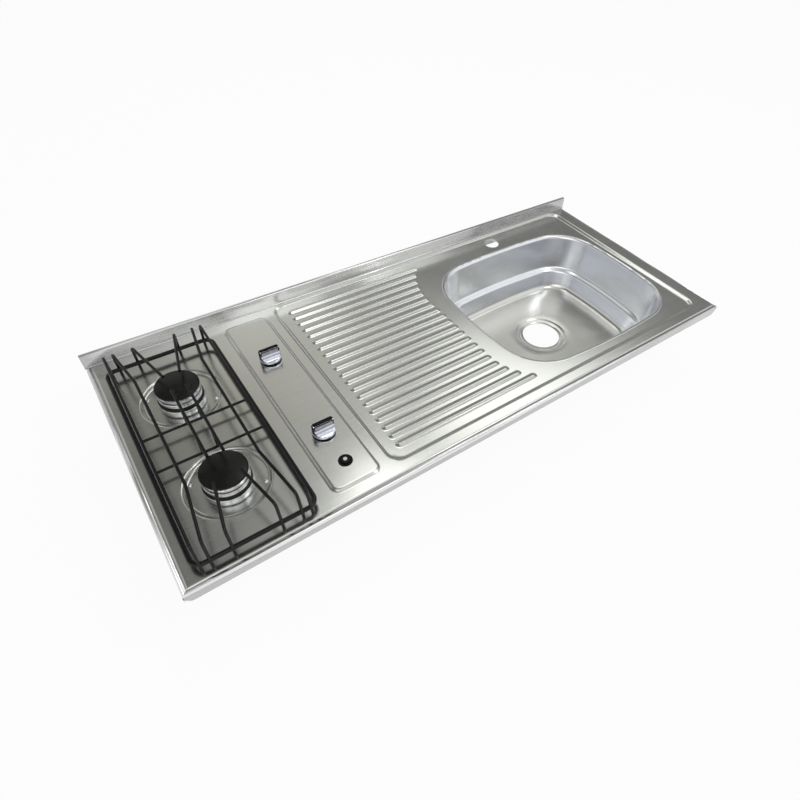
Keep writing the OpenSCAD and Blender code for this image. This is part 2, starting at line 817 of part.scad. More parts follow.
module burner_bracket(i) {
    z = dish_z - sheet - bracket[2];
    color(zinc) at_burner(i) difference() {
        union() {
            rotate([0, 0, screw_angle]) translate([-bracket[0] / 2, -bracket[1] / 2, z]) cube(bracket);
            post(neck_radius + 4, z - 4, z + bracket[2]);
        }
        post(neck_radius + run_gap, z - 5, z + 3);
        for (s = [1, -1])
            translate(s * screw_at) post(screw_radius + run_gap, z - 1, z + 3);
    }
}

module dish_screws() {
    color(chrome) for (i = [0, 1], s = [1, -1])
        at_burner(i) translate(s * screw_at) {
            post(screw_radius, dish_z - 8, dish_z);
            intersection() {
                post(3.6, dish_z, dish_z + 3);
                translate([0, 0, dish_z - 2.2]) sphere(4.6);
            }
        }
}

module burner_head(i) {
    inner = head_radius - crown_wall;
    color(alloy) at_burner(i) difference() {
        rotate_extrude() polygon([
            [mix_tube[0], 4], [mix_tube[1], 4], [mix_tube[1], cup_top - 3],
            [cup_bore - 3, cup_top - 3], [cup_bore - 3, cup_top - 7],
            [cup_bore - seat_gap, cup_top - 7], [cup_bore - seat_gap, cup_top],
            [head_neck, cup_top], [head_neck, head_foot], [head_radius, head_foot],
            [head_radius, head_top], [inner, head_top], [inner, head_foot + 2], [mix_tube[0], head_foot + 2]
        ]);
        for (k = [0 : port_count - 1])
            rotate([0, 0, 360 * k / port_count])
                translate([inner - 1, -0.8, head_top - 4.5]) cube([crown_wall + 2, 1.6, 5]);
    }
}

module burner_cap(i) {
    steps = 8;
    edge = cap_height - cap_dome;
    color(enamel) at_burner(i) {
        translate([0, 0, head_top]) rotate_extrude() polygon(concat(
            [[0, 0], [cap_radius - 0.6, 0], [cap_radius, 0.6], [cap_radius, edge - 1.2]],
            [[cap_radius - 0.4, edge - 0.5], [cap_radius - 1.2, edge]],
            [for (k = [1 : steps - 1]) let (x = (cap_radius - 1.2) * (1 - k / steps))
                [x, edge + cap_dome * (1 - pow(x / cap_radius, 2))]],
            [[0, cap_height]]
        ));
        ring(head_radius - crown_wall - seat_gap, head_radius - crown_wall - 3, head_top - 3, head_top);
    }
}

module injector_holder(i) {
    color(brass) at_burner(i) difference() {
        union() {
            post(10, holder_z - 9, cup_bottom);
            post(5 - run_gap, cup_bottom, cup_bottom + 5);
            along_x(7, 0, holder_reach, holder_z);
        }
        post(2.5, holder_z - 2, cup_bottom + 6);
        along_x(2.5, 0, holder_reach, holder_z);
        along_x(pipe_radius + run_gap, holder_reach - holder_seat, holder_reach + 1, holder_z);
    }
}

module injectors() {
    color(brass) for (i = [0, 1])
        at_burner(i) difference() {
            union() {
                post(2.5 - run_gap, cup_bottom, cup_bottom + 5);
                translate([0, 0, cup_bottom + 5]) cylinder(r = 4, h = 5, $fn = 6);
                post(2.4, cup_bottom + 10, cup_bottom + 13);
            }
            post(1.5, cup_bottom - 1, cup_bottom + 11);
            post(0.5, cup_bottom + 10, cup_bottom + 14);
        }
}

module electrode_ceramics() {
    color(white) for (i = [0, 1])
        at_burner(i) translate(electrode_at[i]) difference() {
            union() {
                post(ceramic_radius, 6, ceramic_top - 4);
                translate([0, 0, ceramic_top - 4]) cylinder(r1 = ceramic_radius, r2 = 2, h = 4);
                post(ceramic_radius + 1.8, dish_z, dish_z + 2.5);
            }
            post(pin_radius + run_gap, 5, ceramic_top + 1);
        }
}

module electrode_pins() {
    color(chrome) for (i = [0, 1]) {
        away = unit(electrode_at[i]);
        near = away * (cap_radius + 5.5);
        at_burner(i) sweep(bent([
            [electrode_at[i][0], electrode_at[i][1], 6],
            [electrode_at[i][0], electrode_at[i][1], pin_top],
            [near[0], near[1], pin_top - 1]
        ], 2, 4), pin_radius, 8, 0, [[], []]);
    }
}

// Gas side

module at_valve(i) {
    translate([valve_x, valve_y[i], 0]) children();
}

module gas_rail() {
    color(zinc) difference() {
        stick([valve_x, gas_rail_y[0], rail_z], [valve_x, gas_rail_y[1], rail_z], gas_rail_radius);
        stick([valve_x, gas_rail_y[0] + 2, rail_z], [valve_x, gas_rail_y[1] - 2, rail_z], gas_rail_radius - 1.5);
        for (i = [0, 1])
            at_valve(i) post(2, rail_z, 0);
        translate([valve_x, inlet_y, 0]) post(4, rail_z - 8, rail_z);
    }
}

module rail_supports() {
    color(zinc) for (y = support_y)
        difference() {
            translate([valve_x - 9, y - 6, box_floor + sheet]) cube([18, 12, rail_z + 2 - box_floor - sheet]);
            stick([valve_x, y - 7, rail_z], [valve_x, y + 7, rail_z], gas_rail_radius);
            translate([valve_x - 6, y - 7, box_floor + sheet - 1]) cube([12, 14, 18]);
        }
}

module gas_inlet() {
    color(brass) translate([valve_x, inlet_y, 0]) difference() {
        union() {
            post(inlet_radius, inlet_end, rail_z - 12);
            translate([0, 0, rail_z - 14]) cylinder(r = 15, h = 8, $fn = 6);
            post(9, rail_z - 7, rail_z - 1);
        }
        translate([-valve_x, -inlet_y, 0])
            stick([valve_x, gas_rail_y[0], rail_z], [valve_x, gas_rail_y[1], rail_z], gas_rail_radius);
        post(4, inlet_end - 1, rail_z);
    }
}

function pipe_points(i) = [
    [valve_x - outlet_reach + 8, valve_y[i], outlet_z], [burner_x + pipe_bend_x[0], valve_y[i], outlet_z],
    [burner_x + pipe_bend_x[1], burner_y[i], holder_z], [burner_x + holder_reach - holder_seat, burner_y[i], holder_z]
];

module gas_pipe(i) {
    color(brass) sweep(bent(pipe_points(i), 16, 4), pipe_radius, 12, pipe_bore, [[], []]);
}

module pipe_nuts() {
    color(brass) for (i = [0, 1]) {
        at_valve(i) pipe_nut(-outlet_reach - 9, outlet_z);
        at_burner(i) pipe_nut(holder_reach, holder_z);
    }
}

module pipe_nut(x, z) {
    translate([x, 0, z]) rotate([0, 90, 0]) difference() {
        cylinder(r = 7.5, h = 9, $fn = 6);
        translate([0, 0, -1]) cylinder(r = pipe_radius + run_gap, h = 11);
    }
}

module valve_body(i) {
    color(brass) at_valve(i) difference() {
        union() {
            post(valve_radius, rail_z, valve_top);
            along_x(6, -outlet_reach, 0, outlet_z);
        }
        translate([0, -20, rail_z]) rotate([-90, 0, 0]) cylinder(r = gas_rail_radius, h = 40);
        post(plug_radius + run_gap, plug_z[0], valve_top + 1);
        post(2, rail_z, plug_z[0] + 1);
        along_x(2, -outlet_reach, 0, outlet_z);
        along_x(pipe_radius + run_gap, -outlet_reach - 1, -outlet_reach + 8, outlet_z);
    }
}

module valve_cap(i) {
    color(zinc) at_valve(i) ring(valve_radius, spindle_radius + run_gap, valve_top, valve_top + valve_cap_height);
}

module valve_plug(i) {
    color(brass) at_valve(i) difference() {
        post(plug_radius, plug_z[0], plug_z[1]);
        translate([-plug_radius - 1, -1.1, plug_z[1] - 6]) cube([2 * plug_radius + 2, 2.2, 7]);
        post(2, plug_z[0] - 1, outlet_z + 1);
        translate([0, 0, outlet_z]) rotate([-90, 0, 0]) cylinder(r = 2, h = plug_radius + 1);
    }
}

module spindle(i) {
    color(zinc) at_valve(i) {
        post(spindle_radius, plug_z[1] + push_travel + 0.2, knob_top - 7);
        post(4.9, collar_z, valve_top - 0.5);
        intersection() {
            post(spindle_radius, plug_z[1] + push_travel - 5.8, plug_z[1] + push_travel + 0.2);
            translate([-5, -1, -10]) cube([10, 2, 40]);
        }
    }
}

module valve_spring(i) {
    color(zinc) at_valve(i) ring(4.7, 3.3, plug_z[1], collar_z);
}

// Knobs

module grip_block(reach) {
    h = knob_top - knob_foot;
    wide = grip_width / 2 + grip_fillet;
    intersection() {
        translate([-knob_radius, 0, knob_foot]) rotate([90, 0, 90]) linear_extrude(height = 2 * knob_radius)
            difference() {
                translate([-wide, -1]) square([2 * wide, h + 1]);
                for (s = [1, -1]) {
                    translate([s * wide, grip_fillet]) circle(grip_fillet);
                    translate([s * (wide + grip_width / 2) / 2 + s * 5, grip_fillet + h / 2])
                        square([wide - grip_width / 2 + 10, h], center = true);
                }
            }
        post(reach, knob_foot - 1, knob_top + 1);
    }
}

module inlay_form(deep) {
    w = inlay_width / 2;
    translate([-knob_radius - 1, -w, knob_foot + 2]) cube([2 * knob_radius + 2, 2 * w, knob_top - knob_foot]);
}

module knob(i) {
    foot_edge = 1;
    color(chrome) at_valve(i) difference() {
        union() {
            post(knob_radius, knob_bottom, knob_foot - foot_edge);
            post(knob_radius - foot_edge, knob_bottom, knob_foot);
            translate([0, 0, knob_foot - foot_edge]) rotate_extrude()
                translate([knob_radius - foot_edge, 0]) circle(foot_edge);
            grip_block(grip_reach);
        }
        inlay_cut();
        post(spindle_radius + run_gap, knob_bottom - 1, knob_top - 7);
        ring(knob_radius - 2, 6, knob_bottom - 1, knob_bottom + 1.5);
    }
}

// The inlay covers the top and both ends of the grip
module inlay_cut() {
    difference() {
        inlay_form();
        intersection() {
            post(grip_reach - inlay_depth, knob_foot - 1, knob_top - inlay_depth);
            inlay_form();
        }
    }
}

module knob_inlay(i) {
    color(rubber) at_valve(i) intersection() {
        inlay_cut();
        post(grip_reach, knob_foot - 1, knob_top);
    }
}

// Igniter

module igniter_housing() {
    bore = button_radius + seat_gap;
    color(rubber) translate(igniter) difference() {
        union() {
            post(bezel_radius - 0.5, panel_z, bezel_top);
            post(bezel_radius, panel_z, bezel_top - 0.5);
            post(housing_radius, housing_bottom, panel_z);
        }
        post(bore, 4, bezel_top + 1);
    }
}

module igniter_nut() {
    color(rubber) translate(igniter) difference() {
        translate([0, 0, panel_z - sheet - 5]) cylinder(r = 15, h = 5, $fn = 6);
        post(housing_radius + run_gap, panel_z - sheet - 6, panel_z);
    }
}

module igniter_button() {
    low = 4 + 9;
    color(rubber) translate(igniter) difference() {
        union() {
            post(button_radius, low, button_top - 1);
            translate([0, 0, button_top - 1]) cylinder(r1 = button_radius, r2 = button_radius - 1, h = 1);
        }
        post(mark_radius, button_top - 1.2, button_top + 1);
        post(4.2, low - 1, low + 6);
    }
}

module button_mark() {
    color(white) translate(igniter) post(mark_radius, button_top - 1.2, button_top);
}

module igniter_spring() {
    color(zinc) translate(igniter) ring(7.4, 5.6, 4, 13);
}

// Smooth curve through the points, swept as one cord
function curve_point(p, i, t) =
    let (
        a = p[max(i - 1, 0)],
        b = p[i],
        c = p[i + 1],
        d = p[min(i + 2, len(p) - 1)]
    )
    0.5 * (2 * b + (c - a) * t + (2 * a - 5 * b + 4 * c - d) * t * t + (3 * b - 3 * c + d - a) * t * t * t);
function curve(p) = concat(
    [for (i = [0 : len(p) - 2], s = [0 : lead_steps - 1]) curve_point(p, i, s / lead_steps)],
    [p[len(p) - 1]]
);
module ignition_lead(points) {
    color(rubber) sweep(curve(points), lead_radius, lead_sides, 0, [[0, 0, -1], [0, 0, 1]]);
}

// Grate

function rod_leg(x, j) = [[x, foot_y[j], top_z], [x, rise_y[j], rod_z]];
function flip_list(v) = [for (k = [len(v) - 1 : -1 : 0]) v[k]];
function outer_rod(s) =
    let (x = grate_x + s * outer_offset) concat(rod_leg(x, 0), flip_list(rod_leg(x, 1)));
function inner_rod(s) =
    let (x = grate_x + s * inner_offset[0], m = grate_x + s * inner_offset[1])
    concat(rod_leg(x, 0), [[m, inner_y[0], rod_z], [m, inner_y[1], rod_z]], flip_list(rod_leg(x, 1)));
function finger(s, j) =
    concat(
        rod_leg(grate_x + s * finger_offset[0], j),
        [[grate_x + s * finger_offset[1 + j], finger_tip[j], rod_z]]
    );

module long_rod_form() {
    for (s = [1, -1]) {
        sweep(bent(outer_rod(s), rod_bend, 4), rod_size / 2, rod_sides, 0, [[0, 0, 1], [0, 0, -1]]);
        sweep(bent(inner_rod(s), rod_bend, 4), rod_size / 2, rod_sides, 0, [[0, 0, 1], [0, 0, -1]]);
    }
}

module finger_form() {
    for (s = [1, -1], j = [0, 1])
        sweep(bent(finger(s, j), rod_bend, 4), rod_size / 2, rod_sides, 0, [[0, 0, 1], []]);
}

// Where the legs pass the frame bars
module leg_holes() {
    for (s = [1, -1], j = [0, 1], x = [outer_offset, inner_offset[0], finger_offset[0]]) {
        leg = rod_leg(grate_x + s * x, j);
        stick(leg[0], leg[1], rod_size / 2 + run_gap / 2);
    }
}

module frame_form() {
    x = grate_bar_x;
    y = grate_bar_y;
    c = grate_corner;
    z = grate_bar_z;
    for (k = [0, 1]) {
        stick([x[0] + c, y[k], z], [x[1] - c, y[k], z], bar_size / 2);
        stick([x[k], y[0] + c, z], [x[k], y[1] - c, z], bar_size / 2);
    }
    corners = [[x[1] - c, y[1] - c], [x[0] + c, y[1] - c], [x[0] + c, y[0] + c], [x[1] - c, y[0] + c]];
    for (q = [0 : 3])
        translate([corners[q][0], corners[q][1], z]) rotate([0, 0, 90 * q])
            rotate_extrude(angle = 90) translate([c, 0]) circle(bar_size / 2);
}

module wire_form() {
    for (y = wire_y)
        stick([grate_bar_x[0], y, grate_bar_z], [grate_bar_x[1], y, grate_bar_z], wire_size / 2);
}

module grate_frame() {
    color(enamel) difference() {
        frame_form();
        leg_holes();
    }
}

module grate_long_rods() {
    color(enamel) long_rod_form();
}

module grate_fingers() {
    color(enamel) finger_form();
}

module grate_wires() {
    color(enamel) difference() {
        wire_form();
        frame_form();
    }
}

module grate_centre_rods() {
    color(enamel) difference() {
        for (s = [1, -1]) {
            x = grate_x + s * centre_offset;
            stick([x, centre_y[0], rod_z], [x, centre_y[1], rod_z], rod_size / 2);
            for (y = wire_y)
                stick([x, y, grate_bar_z], [x, y, rod_z], rod_size / 2);
        }
        wire_form();
    }
}
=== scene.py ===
import json
import math

import bmesh
import bpy
import numpy as np
from mathutils import Matrix, Vector


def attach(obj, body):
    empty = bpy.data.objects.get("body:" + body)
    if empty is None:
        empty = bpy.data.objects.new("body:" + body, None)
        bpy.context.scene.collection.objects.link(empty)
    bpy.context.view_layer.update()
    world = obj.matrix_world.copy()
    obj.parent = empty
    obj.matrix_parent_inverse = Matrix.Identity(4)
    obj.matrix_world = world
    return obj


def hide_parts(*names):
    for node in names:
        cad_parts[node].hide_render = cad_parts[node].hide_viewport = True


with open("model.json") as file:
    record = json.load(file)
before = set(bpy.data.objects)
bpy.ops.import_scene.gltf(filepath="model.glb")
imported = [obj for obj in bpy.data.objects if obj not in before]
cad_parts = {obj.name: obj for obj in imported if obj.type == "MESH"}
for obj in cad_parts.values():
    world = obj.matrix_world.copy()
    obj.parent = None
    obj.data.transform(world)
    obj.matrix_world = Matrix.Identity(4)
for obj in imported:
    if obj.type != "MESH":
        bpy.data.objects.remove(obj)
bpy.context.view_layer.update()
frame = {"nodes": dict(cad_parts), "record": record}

MM = 0.001
LENGTH = 1200.0
DEPTH = 520.0
TOP = 24.0
SHEET = 0.8
ROOT = "worktop"


def at_x(x):
    """Plan position from the left end, in the frame's millimetres."""
    return x - LENGTH / 2


def at_y(y):
    """Plan position from the front skirt, in the frame's millimetres."""
    return y - DEPTH / 2


# Node helpers

def shader(name):
    """A new material and its node tools."""
    mat = bpy.data.materials.new(name)
    mat.use_nodes = True
    tree = mat.node_tree
    bsdf = tree.nodes["Principled BSDF"]
    return mat, tree, bsdf


def add(tree, kind, links=(), **values):
    """Add a node, set its properties or plain inputs and link (input, source socket) pairs."""
    node = tree.nodes.new(kind)
    for key, value in values.items():
        if hasattr(node, key):
            setattr(node, key, value)
        else:
            node.inputs[key.replace("_", " ")].default_value = value
    for key, source in links:
        tree.links.new(source, node.inputs[key])
    return node


def ramp(tree, source, stops):
    """Colour ramp with (position, grey or colour) stops."""
    node = tree.nodes.new("ShaderNodeValToRGB")
    elements = node.color_ramp.elements
    while len(elements) < len(stops):
        elements.new(0.5)
    for element, (place, colour) in zip(elements, stops):
        element.position = place
        if isinstance(colour, (int, float)):
            colour = (colour, colour, colour)
        element.color = (*colour, 1.0)
    tree.links.new(source, node.inputs["Fac"])
    return node.outputs["Color"]


def coords(tree, scale):
    """Object coordinates, stretched by the given scale."""
    place = add(tree, "ShaderNodeTexCoord")
    mapping = add(tree, "ShaderNodeMapping", [("Vector", place.outputs["Object"])])
    mapping.inputs["Scale"].default_value = scale
    return mapping.outputs["Vector"]


def axes(tree, kind):
    """The X, Y and Z parts of a coordinate."""
    place = add(tree, "ShaderNodeTexCoord")
    return add(tree, "ShaderNodeSeparateXYZ", [("Vector", place.outputs[kind])]).outputs


def noise(tree, scale, detail, rough):
    """Cloudy grey value, about 0.25 to 0.75, stretched by the given scale."""
    return add(
        tree, "ShaderNodeTexNoise", [("Vector", coords(tree, scale))],
        Scale=1.0, Detail=detail, Roughness=rough,
    ).outputs["Fac"]


def math_node(tree, operation, a, b):
    """A sum, product or the like of two values, each a number or a socket."""
    node = tree.nodes.new("ShaderNodeMath")
    node.operation = operation
    for k, value in enumerate((a, b)):
        if isinstance(value, (int, float)):
            node.inputs[k].default_value = value
        else:
            tree.links.new(value, node.inputs[k])
    return node.outputs[0]


def remap(tree, source, start, end, low, high, kind):
    """Map start..end to low..high."""
    node = add(tree, "ShaderNodeMapRange", [("Value", source)], interpolation_type=kind)
    for key, value in (("From Min", start), ("From Max", end), ("To Min", low), ("To Max", high)):
        node.inputs[key].default_value = value
    return node.outputs["Result"]


def span(tree, source, low, high):
    """Map the usual reach of a noise to low..high."""
    return remap(tree, source, 0.25, 0.75, low, high, "LINEAR")


def across(tree, source, start, end, low=0.0, high=1.0):
    """Smooth step of a value from low to high between start and end."""
    return remap(tree, source, start, end, low, high, "SMOOTHSTEP")


def blend(tree, share, first, second, kind="MIX"):
    """Mix of two colours, each a socket or a plain colour."""
    node = add(tree, "ShaderNodeMix", data_type="RGBA", blend_type=kind)
    for key, value in ((0, share), (6, first), (7, second)):
        if isinstance(value, bpy.types.NodeSocket):
            tree.links.new(value, node.inputs[key])
        else:
            node.inputs[key].default_value = value
    return node.outputs[2]


def bump(tree, bsdf, height, strength, distance):
    """Small relief in a material's surface."""
    node = add(tree, "ShaderNodeBump", [("Height", height)], Strength=strength, Distance=distance)
    tree.links.new(node.outputs["Normal"], bsdf.inputs["Normal"])


def steel(name, colour, rough, grain, streak, wave=0.0):
    """Stainless steel: rolled grain along one axis, soft cloudy marks, a slightly wavy sheet."""
    mat, tree, bsdf = shader(name)
    bsdf.inputs["Metallic"].default_value = 1.0
    lines = noise(tree, grain, 4.0, 0.6)
    cloud = noise(tree, (9.0, 9.0, 9.0), 4.0, 0.55)
    rolled = math_node(tree, "MULTIPLY", lines, 0.6)
    mixed = math_node(tree, "ADD", rolled, math_node(tree, "MULTIPLY", cloud, 0.4))
    tree.links.new(span(tree, mixed, rough - streak, rough + streak), bsdf.inputs["Roughness"])
    dark = tuple(c * 0.93 for c in colour)
    pale = tuple(min(1.0, c * 1.06) for c in colour)
    tint = ramp(tree, mixed, [(0.3, dark), (0.7, pale)])
    tree.links.new(tint, bsdf.inputs["Base Color"])
    swell = noise(tree, (7.0, 9.0, 7.0), 1.0, 0.4)
    fine = math_node(tree, "MULTIPLY", lines, 0.02)
    height = math_node(tree, "ADD", fine, math_node(tree, "MULTIPLY", swell, wave))
    bump(tree, bsdf, height, 1.0, MM)
    return mat


def plain_metal(name, colour, rough, grain=300.0, spread=0.08):
    """Turned, cast or plated metal with fine even spots."""
    mat, tree, bsdf = shader(name)
    bsdf.inputs["Metallic"].default_value = 1.0
    spots = noise(tree, (grain, grain, grain), 3.0, 0.5)
    tree.links.new(span(tree, spots, rough - spread, rough + spread), bsdf.inputs["Roughness"])
    dark = tuple(c * 0.85 for c in colour)
    tint = ramp(tree, spots, [(0.3, dark), (0.7, colour)])
    tree.links.new(tint, bsdf.inputs["Base Color"])
    bump(tree, bsdf, spots, 0.15, 0.05 * MM)
    return mat


def spangle(name, colour, rough):
    """Galvanised sheet: crystal spangle a few millimetres across."""
    mat, tree, bsdf = shader(name)
    bsdf.inputs["Metallic"].default_value = 1.0
    place = coords(tree, (160.0, 160.0, 160.0))
    cells = add(tree, "ShaderNodeTexVoronoi", [("Vector", place)], Scale=1.0)
    grey = ramp(tree, cells.outputs["Color"], [(0.2, tuple(c * 0.8 for c in colour)), (0.8, colour)])
    tree.links.new(grey, bsdf.inputs["Base Color"])
    reach = cells.outputs["Distance"]
    tree.links.new(span(tree, reach, rough - 0.06, rough + 0.1), bsdf.inputs["Roughness"])
    bump(tree, bsdf, reach, 0.1, 0.05 * MM)
    return mat


def glossy(name, colour, rough, coat=0.0, peel=0.0, shine=0.5):
    """Enamel, plastic or glaze with a little dust, and orange peel where it is painted."""
    mat, tree, bsdf = shader(name)
    cloud = noise(tree, (60.0, 60.0, 60.0), 4.0, 0.6)
    tree.links.new(span(tree, cloud, rough * 0.8, rough * 1.4), bsdf.inputs["Roughness"])
    pale = tuple(min(1.0, c * 1.25 + 0.002) for c in colour)
    tint = ramp(tree, cloud, [(0.35, colour), (0.7, pale)])
    tree.links.new(tint, bsdf.inputs["Base Color"])
    bsdf.inputs["Specular IOR Level"].default_value = shine
    bsdf.inputs["Coat Weight"].default_value = coat
    bsdf.inputs["Coat Roughness"].default_value = 0.05
    if peel > 0:
        skin = noise(tree, (420.0, 420.0, 420.0), 2.0, 0.5)
        bump(tree, bsdf, skin, 0.2, peel * MM)
    return mat


def paint_reflection_by_height(mat, colour, start, end):
    """Turn a metal to another colour down a height: a painted reflection, as where a bowl's floor mirrors
    its walls.
    """
    tree = mat.node_tree
    base = tree.nodes["Principled BSDF"].inputs["Base Color"]
    depth = across(tree, axes(tree, "Object")["Z"], start * MM, end * MM)
    tint = blend(tree, depth, base.links[0].from_socket, (*colour, 1.0))
    tree.links.new(tint, base)


ROLLED = (14.0, 700.0, 700.0)
TOP_STEEL = steel("top_steel", (0.60, 0.61, 0.575), 0.21, ROLLED, 0.05, 0.03)
# The skirts and rolled edges are the same sheet as the top; their paler steel is painted light.
PAINTED_LIGHT_EDGE_STEEL = steel("edge_steel_painted_light", (0.82, 0.825, 0.82), 0.24, ROLLED, 0.05)
# The upstand is the same sheet as the top; its paler steel is painted light.
PAINTED_LIGHT_BACK_STEEL = steel("back_steel_painted_light", (0.86, 0.86, 0.87), 0.27, ROLLED, 0.07, 5.0)
# The bowl's paler, bluer steel is painted light and a painted reflection of the room.
PAINTED_LIGHT_BOWL_STEEL = steel("bowl_steel_painted_light", (0.77, 0.785, 0.81), 0.24, (40.0, 40.0, 500.0), 0.04)
# Below its shoulder the bowl turns warmer and darker: a painted reflection.
paint_reflection_by_height(PAINTED_LIGHT_BOWL_STEEL, (0.64, 0.64, 0.60), -92.0, -112.0)
ENAMEL = glossy("enamel_black", (0.005, 0.005, 0.005), 0.16, 0.0, 0.03, 0.25)
CAP_ENAMEL = glossy("cap_enamel", (0.007, 0.007, 0.006), 0.24, 0.0, 0.04, 0.2)
CAST = plain_metal("cast_alloy", (0.78, 0.79, 0.80), 0.2, 900.0, 0.05)
BRASS = plain_metal("turned_brass", (0.74, 0.56, 0.27), 0.3)
TUBE = plain_metal("drawn_tube", (0.72, 0.72, 0.73), 0.32)
ZINC = spangle("galvanised", (0.58, 0.59, 0.60), 0.4)
BRIGHT = plain_metal("bright_steel", (0.72, 0.72, 0.72), 0.22)
CHROME = plain_metal("plated_chrome", (0.76, 0.78, 0.87), 0.2, 200.0, 0.03)
BLACK_PLASTIC = glossy("black_plastic", (0.004, 0.004, 0.004), 0.24, 0.0, 0.0, 0.12)
PALE_PLASTIC = glossy("pale_plastic", (0.55, 0.56, 0.53), 0.3)
SLEEVE = glossy("silicone_sleeve", (0.04, 0.04, 0.04), 0.6)
CERAMIC = glossy("white_ceramic", (0.80, 0.79, 0.75), 0.25, 0.4)

SLOT_MATERIAL = {
    "sheet_steel": TOP_STEEL,
    "galvanised_steel": ZINC,
    "bright_steel": BRIGHT,
    "black_enamel": ENAMEL,
    "burner_alloy": CAST,
    "brass": BRASS,
    "pipe_metal": TUBE,
    "knob_chrome": CHROME,
    "black_plastic": BLACK_PLASTIC,
    "white_plastic": PALE_PLASTIC,
    "lead_rubber": SLEEVE,
    "electrode_ceramic": CERAMIC,
}
SMOOTH_ANGLE = math.radians(35)


def finish_node(node, slot):
    """Give a CAD node its finish and smooth its round faces."""
    mesh = frame["nodes"][node].data
    mesh.materials.clear()
    mesh.materials.append(SLOT_MATERIAL[slot])
    mesh.polygons.foreach_set("use_smooth", [True] * len(mesh.polygons))
    mesh.set_sharp_from_angle(angle=SMOOTH_ANGLE)


for part in frame["record"]["subparts"]:
    finish_node(part["node"], part["material_slot"])


# Mesh helpers

def piece(name, points, faces, material, body, replaces=(), thick=0.0, sharp=SMOOTH_ANGLE):
    """A mesh from points in millimetres; thick adds sheet thickness behind the faces."""
    mesh = bpy.data.meshes.new(name)
    mesh.from_pydata((np.asarray(points, float) * MM).tolist(), [], faces)
    mesh.validate()
    mesh.materials.append(material)
    mesh.polygons.foreach_set("use_smooth", [True] * len(mesh.polygons))
    if sharp:
        mesh.set_sharp_from_angle(angle=sharp)
    obj = bpy.data.objects.new(name, mesh)
    bpy.context.scene.collection.objects.link(obj)
    if thick:
        solid = obj.modifiers.new("sheet", "SOLIDIFY")
        solid.thickness = thick * MM
        solid.offset = -1.0
        solid.use_even_offset = True
    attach(obj, body)
    if replaces:
        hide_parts(*replaces)
    return obj


def grid_faces(rows, columns, closed=False):
    """Quads of a grid of points stored row by row; closed joins the last column to the first."""
    faces = []
    last = columns if closed else columns - 1
    for i in range(rows - 1):
        for k in range(last):
            a = i * columns + k
            b = i * columns + (k + 1) % columns
            faces.append((a, b, b + columns, a + columns))
    return faces


def lathe(name, profile, centre, material, body, replaces=(), turns=96):
    """A turned piece from (radius, height) points; a point on the axis closes it."""
    points = []
    for r, z in profile:
        for k in range(turns):
            w = 2 * math.pi * k / turns
            points.append((centre[0] + r * math.cos(w), centre[1] + r * math.sin(w), z))
    faces = grid_faces(len(profile), turns, closed=True)
    weld(piece(name, points, faces, material, body, replaces))


def weld(obj, distance=1e-6):
    """Merge the points that a pole or a closed ring repeats."""
    work = bmesh.new()
    work.from_mesh(obj.data)
    bmesh.ops.remove_doubles(work, verts=work.verts, dist=distance)
    bmesh.ops.dissolve_degenerate(work, edges=work.edges, dist=distance)
    bmesh.ops.recalc_face_normals(work, faces=work.faces)
    work.to_mesh(obj.data)
    work.free()


def rounded(path, radii, steps):
    """Points of a path in a plane or in space whose corners are rounded."""
    out = [np.array(path[0], float)]
    for i in range(1, len(path) - 1):
        p, q, s = (np.array(path[k], float) for k in (i - 1, i, i + 1))
        u = (p - q) / np.linalg.norm(p - q)
        v = (s - q) / np.linalg.norm(s - q)
        r = radii if isinstance(radii, (int, float)) else radii[i]
        if r <= 0:
            out.append(q)
            continue
        c = float(u @ v)
        cut = r * math.sqrt((1 + c) / (1 - c))
        middle = q + (u + v) / np.linalg.norm(u + v) * r / math.sqrt((1 - c) / 2)
        a = (q + u * cut - middle) / r
        b = (q + v * cut - middle) / r
        w = math.acos(max(-1.0, min(1.0, float(a @ b))))
        for k in range(steps + 1):
            t = k / steps
            ray = (a * math.sin((1 - t) * w) + b * math.sin(t * w)) / math.sin(w)
            out.append(middle + ray * r)
    out.append(np.array(path[-1], float))
    return out


def rod_mesh(paths, radius, closed=False, sides=18):
    """Points and faces of round rods along paths in space; steep ends are cut level."""
    points = []
    faces = []
    for path in paths:
        path = [np.array(p, float) for p in path]
        count = len(path)
        start = len(points)
        side = np.array([1.0, 0.017, 0.011])
        for i in range(count):
            if closed:
                ahead = path[(i + 1) % count] - path[i]
                behind = path[i] - path[i - 1]
            else:
                ahead = path[min(i + 1, count - 1)] - path[min(i, count - 2)]
                behind = path[max(i, 1)] - path[max(i - 1, 0)]
            h = ahead / np.linalg.norm(ahead) + behind / np.linalg.norm(behind)
            if not closed and i in (0, count - 1) and abs(h[2]) > 1.0:
                h = np.array([0.0, 0.0, np.sign(h[2])])
            h /= np.linalg.norm(h)
            if closed:
                side = np.cross(h, (0.0, 0.0, 1.0))
            side = side - h * (side @ h)
            side /= np.linalg.norm(side)
            other = np.cross(h, side)
            for k in range(sides):
                w = 2 * math.pi * k / sides
                points.append(path[i] + radius * (math.cos(w) * side + math.sin(w) * other))
        for i in range(count if closed else count - 1):
            for k in range(sides):
                a = start + i * sides + k
                b = start + i * sides + (k + 1) % sides
                c = start + ((i + 1) % count) * sides + (k + 1) % sides
                d = start + ((i + 1) % count) * sides + k
                faces.append((a, b, c, d))
        if not closed:
            faces.append(tuple(start + k for k in range(sides))[::-1])
            faces.append(tuple(start + (count - 1) * sides + k for k in range(sides)))
    return points, faces


# The pressed top: one height for each point of the plan

def smooth_step(t):
    """0 to 1 with a soft start and end."""
    t = np.clip(t, 0.0, 1.0)
    return t * t * (3 - 2 * t)


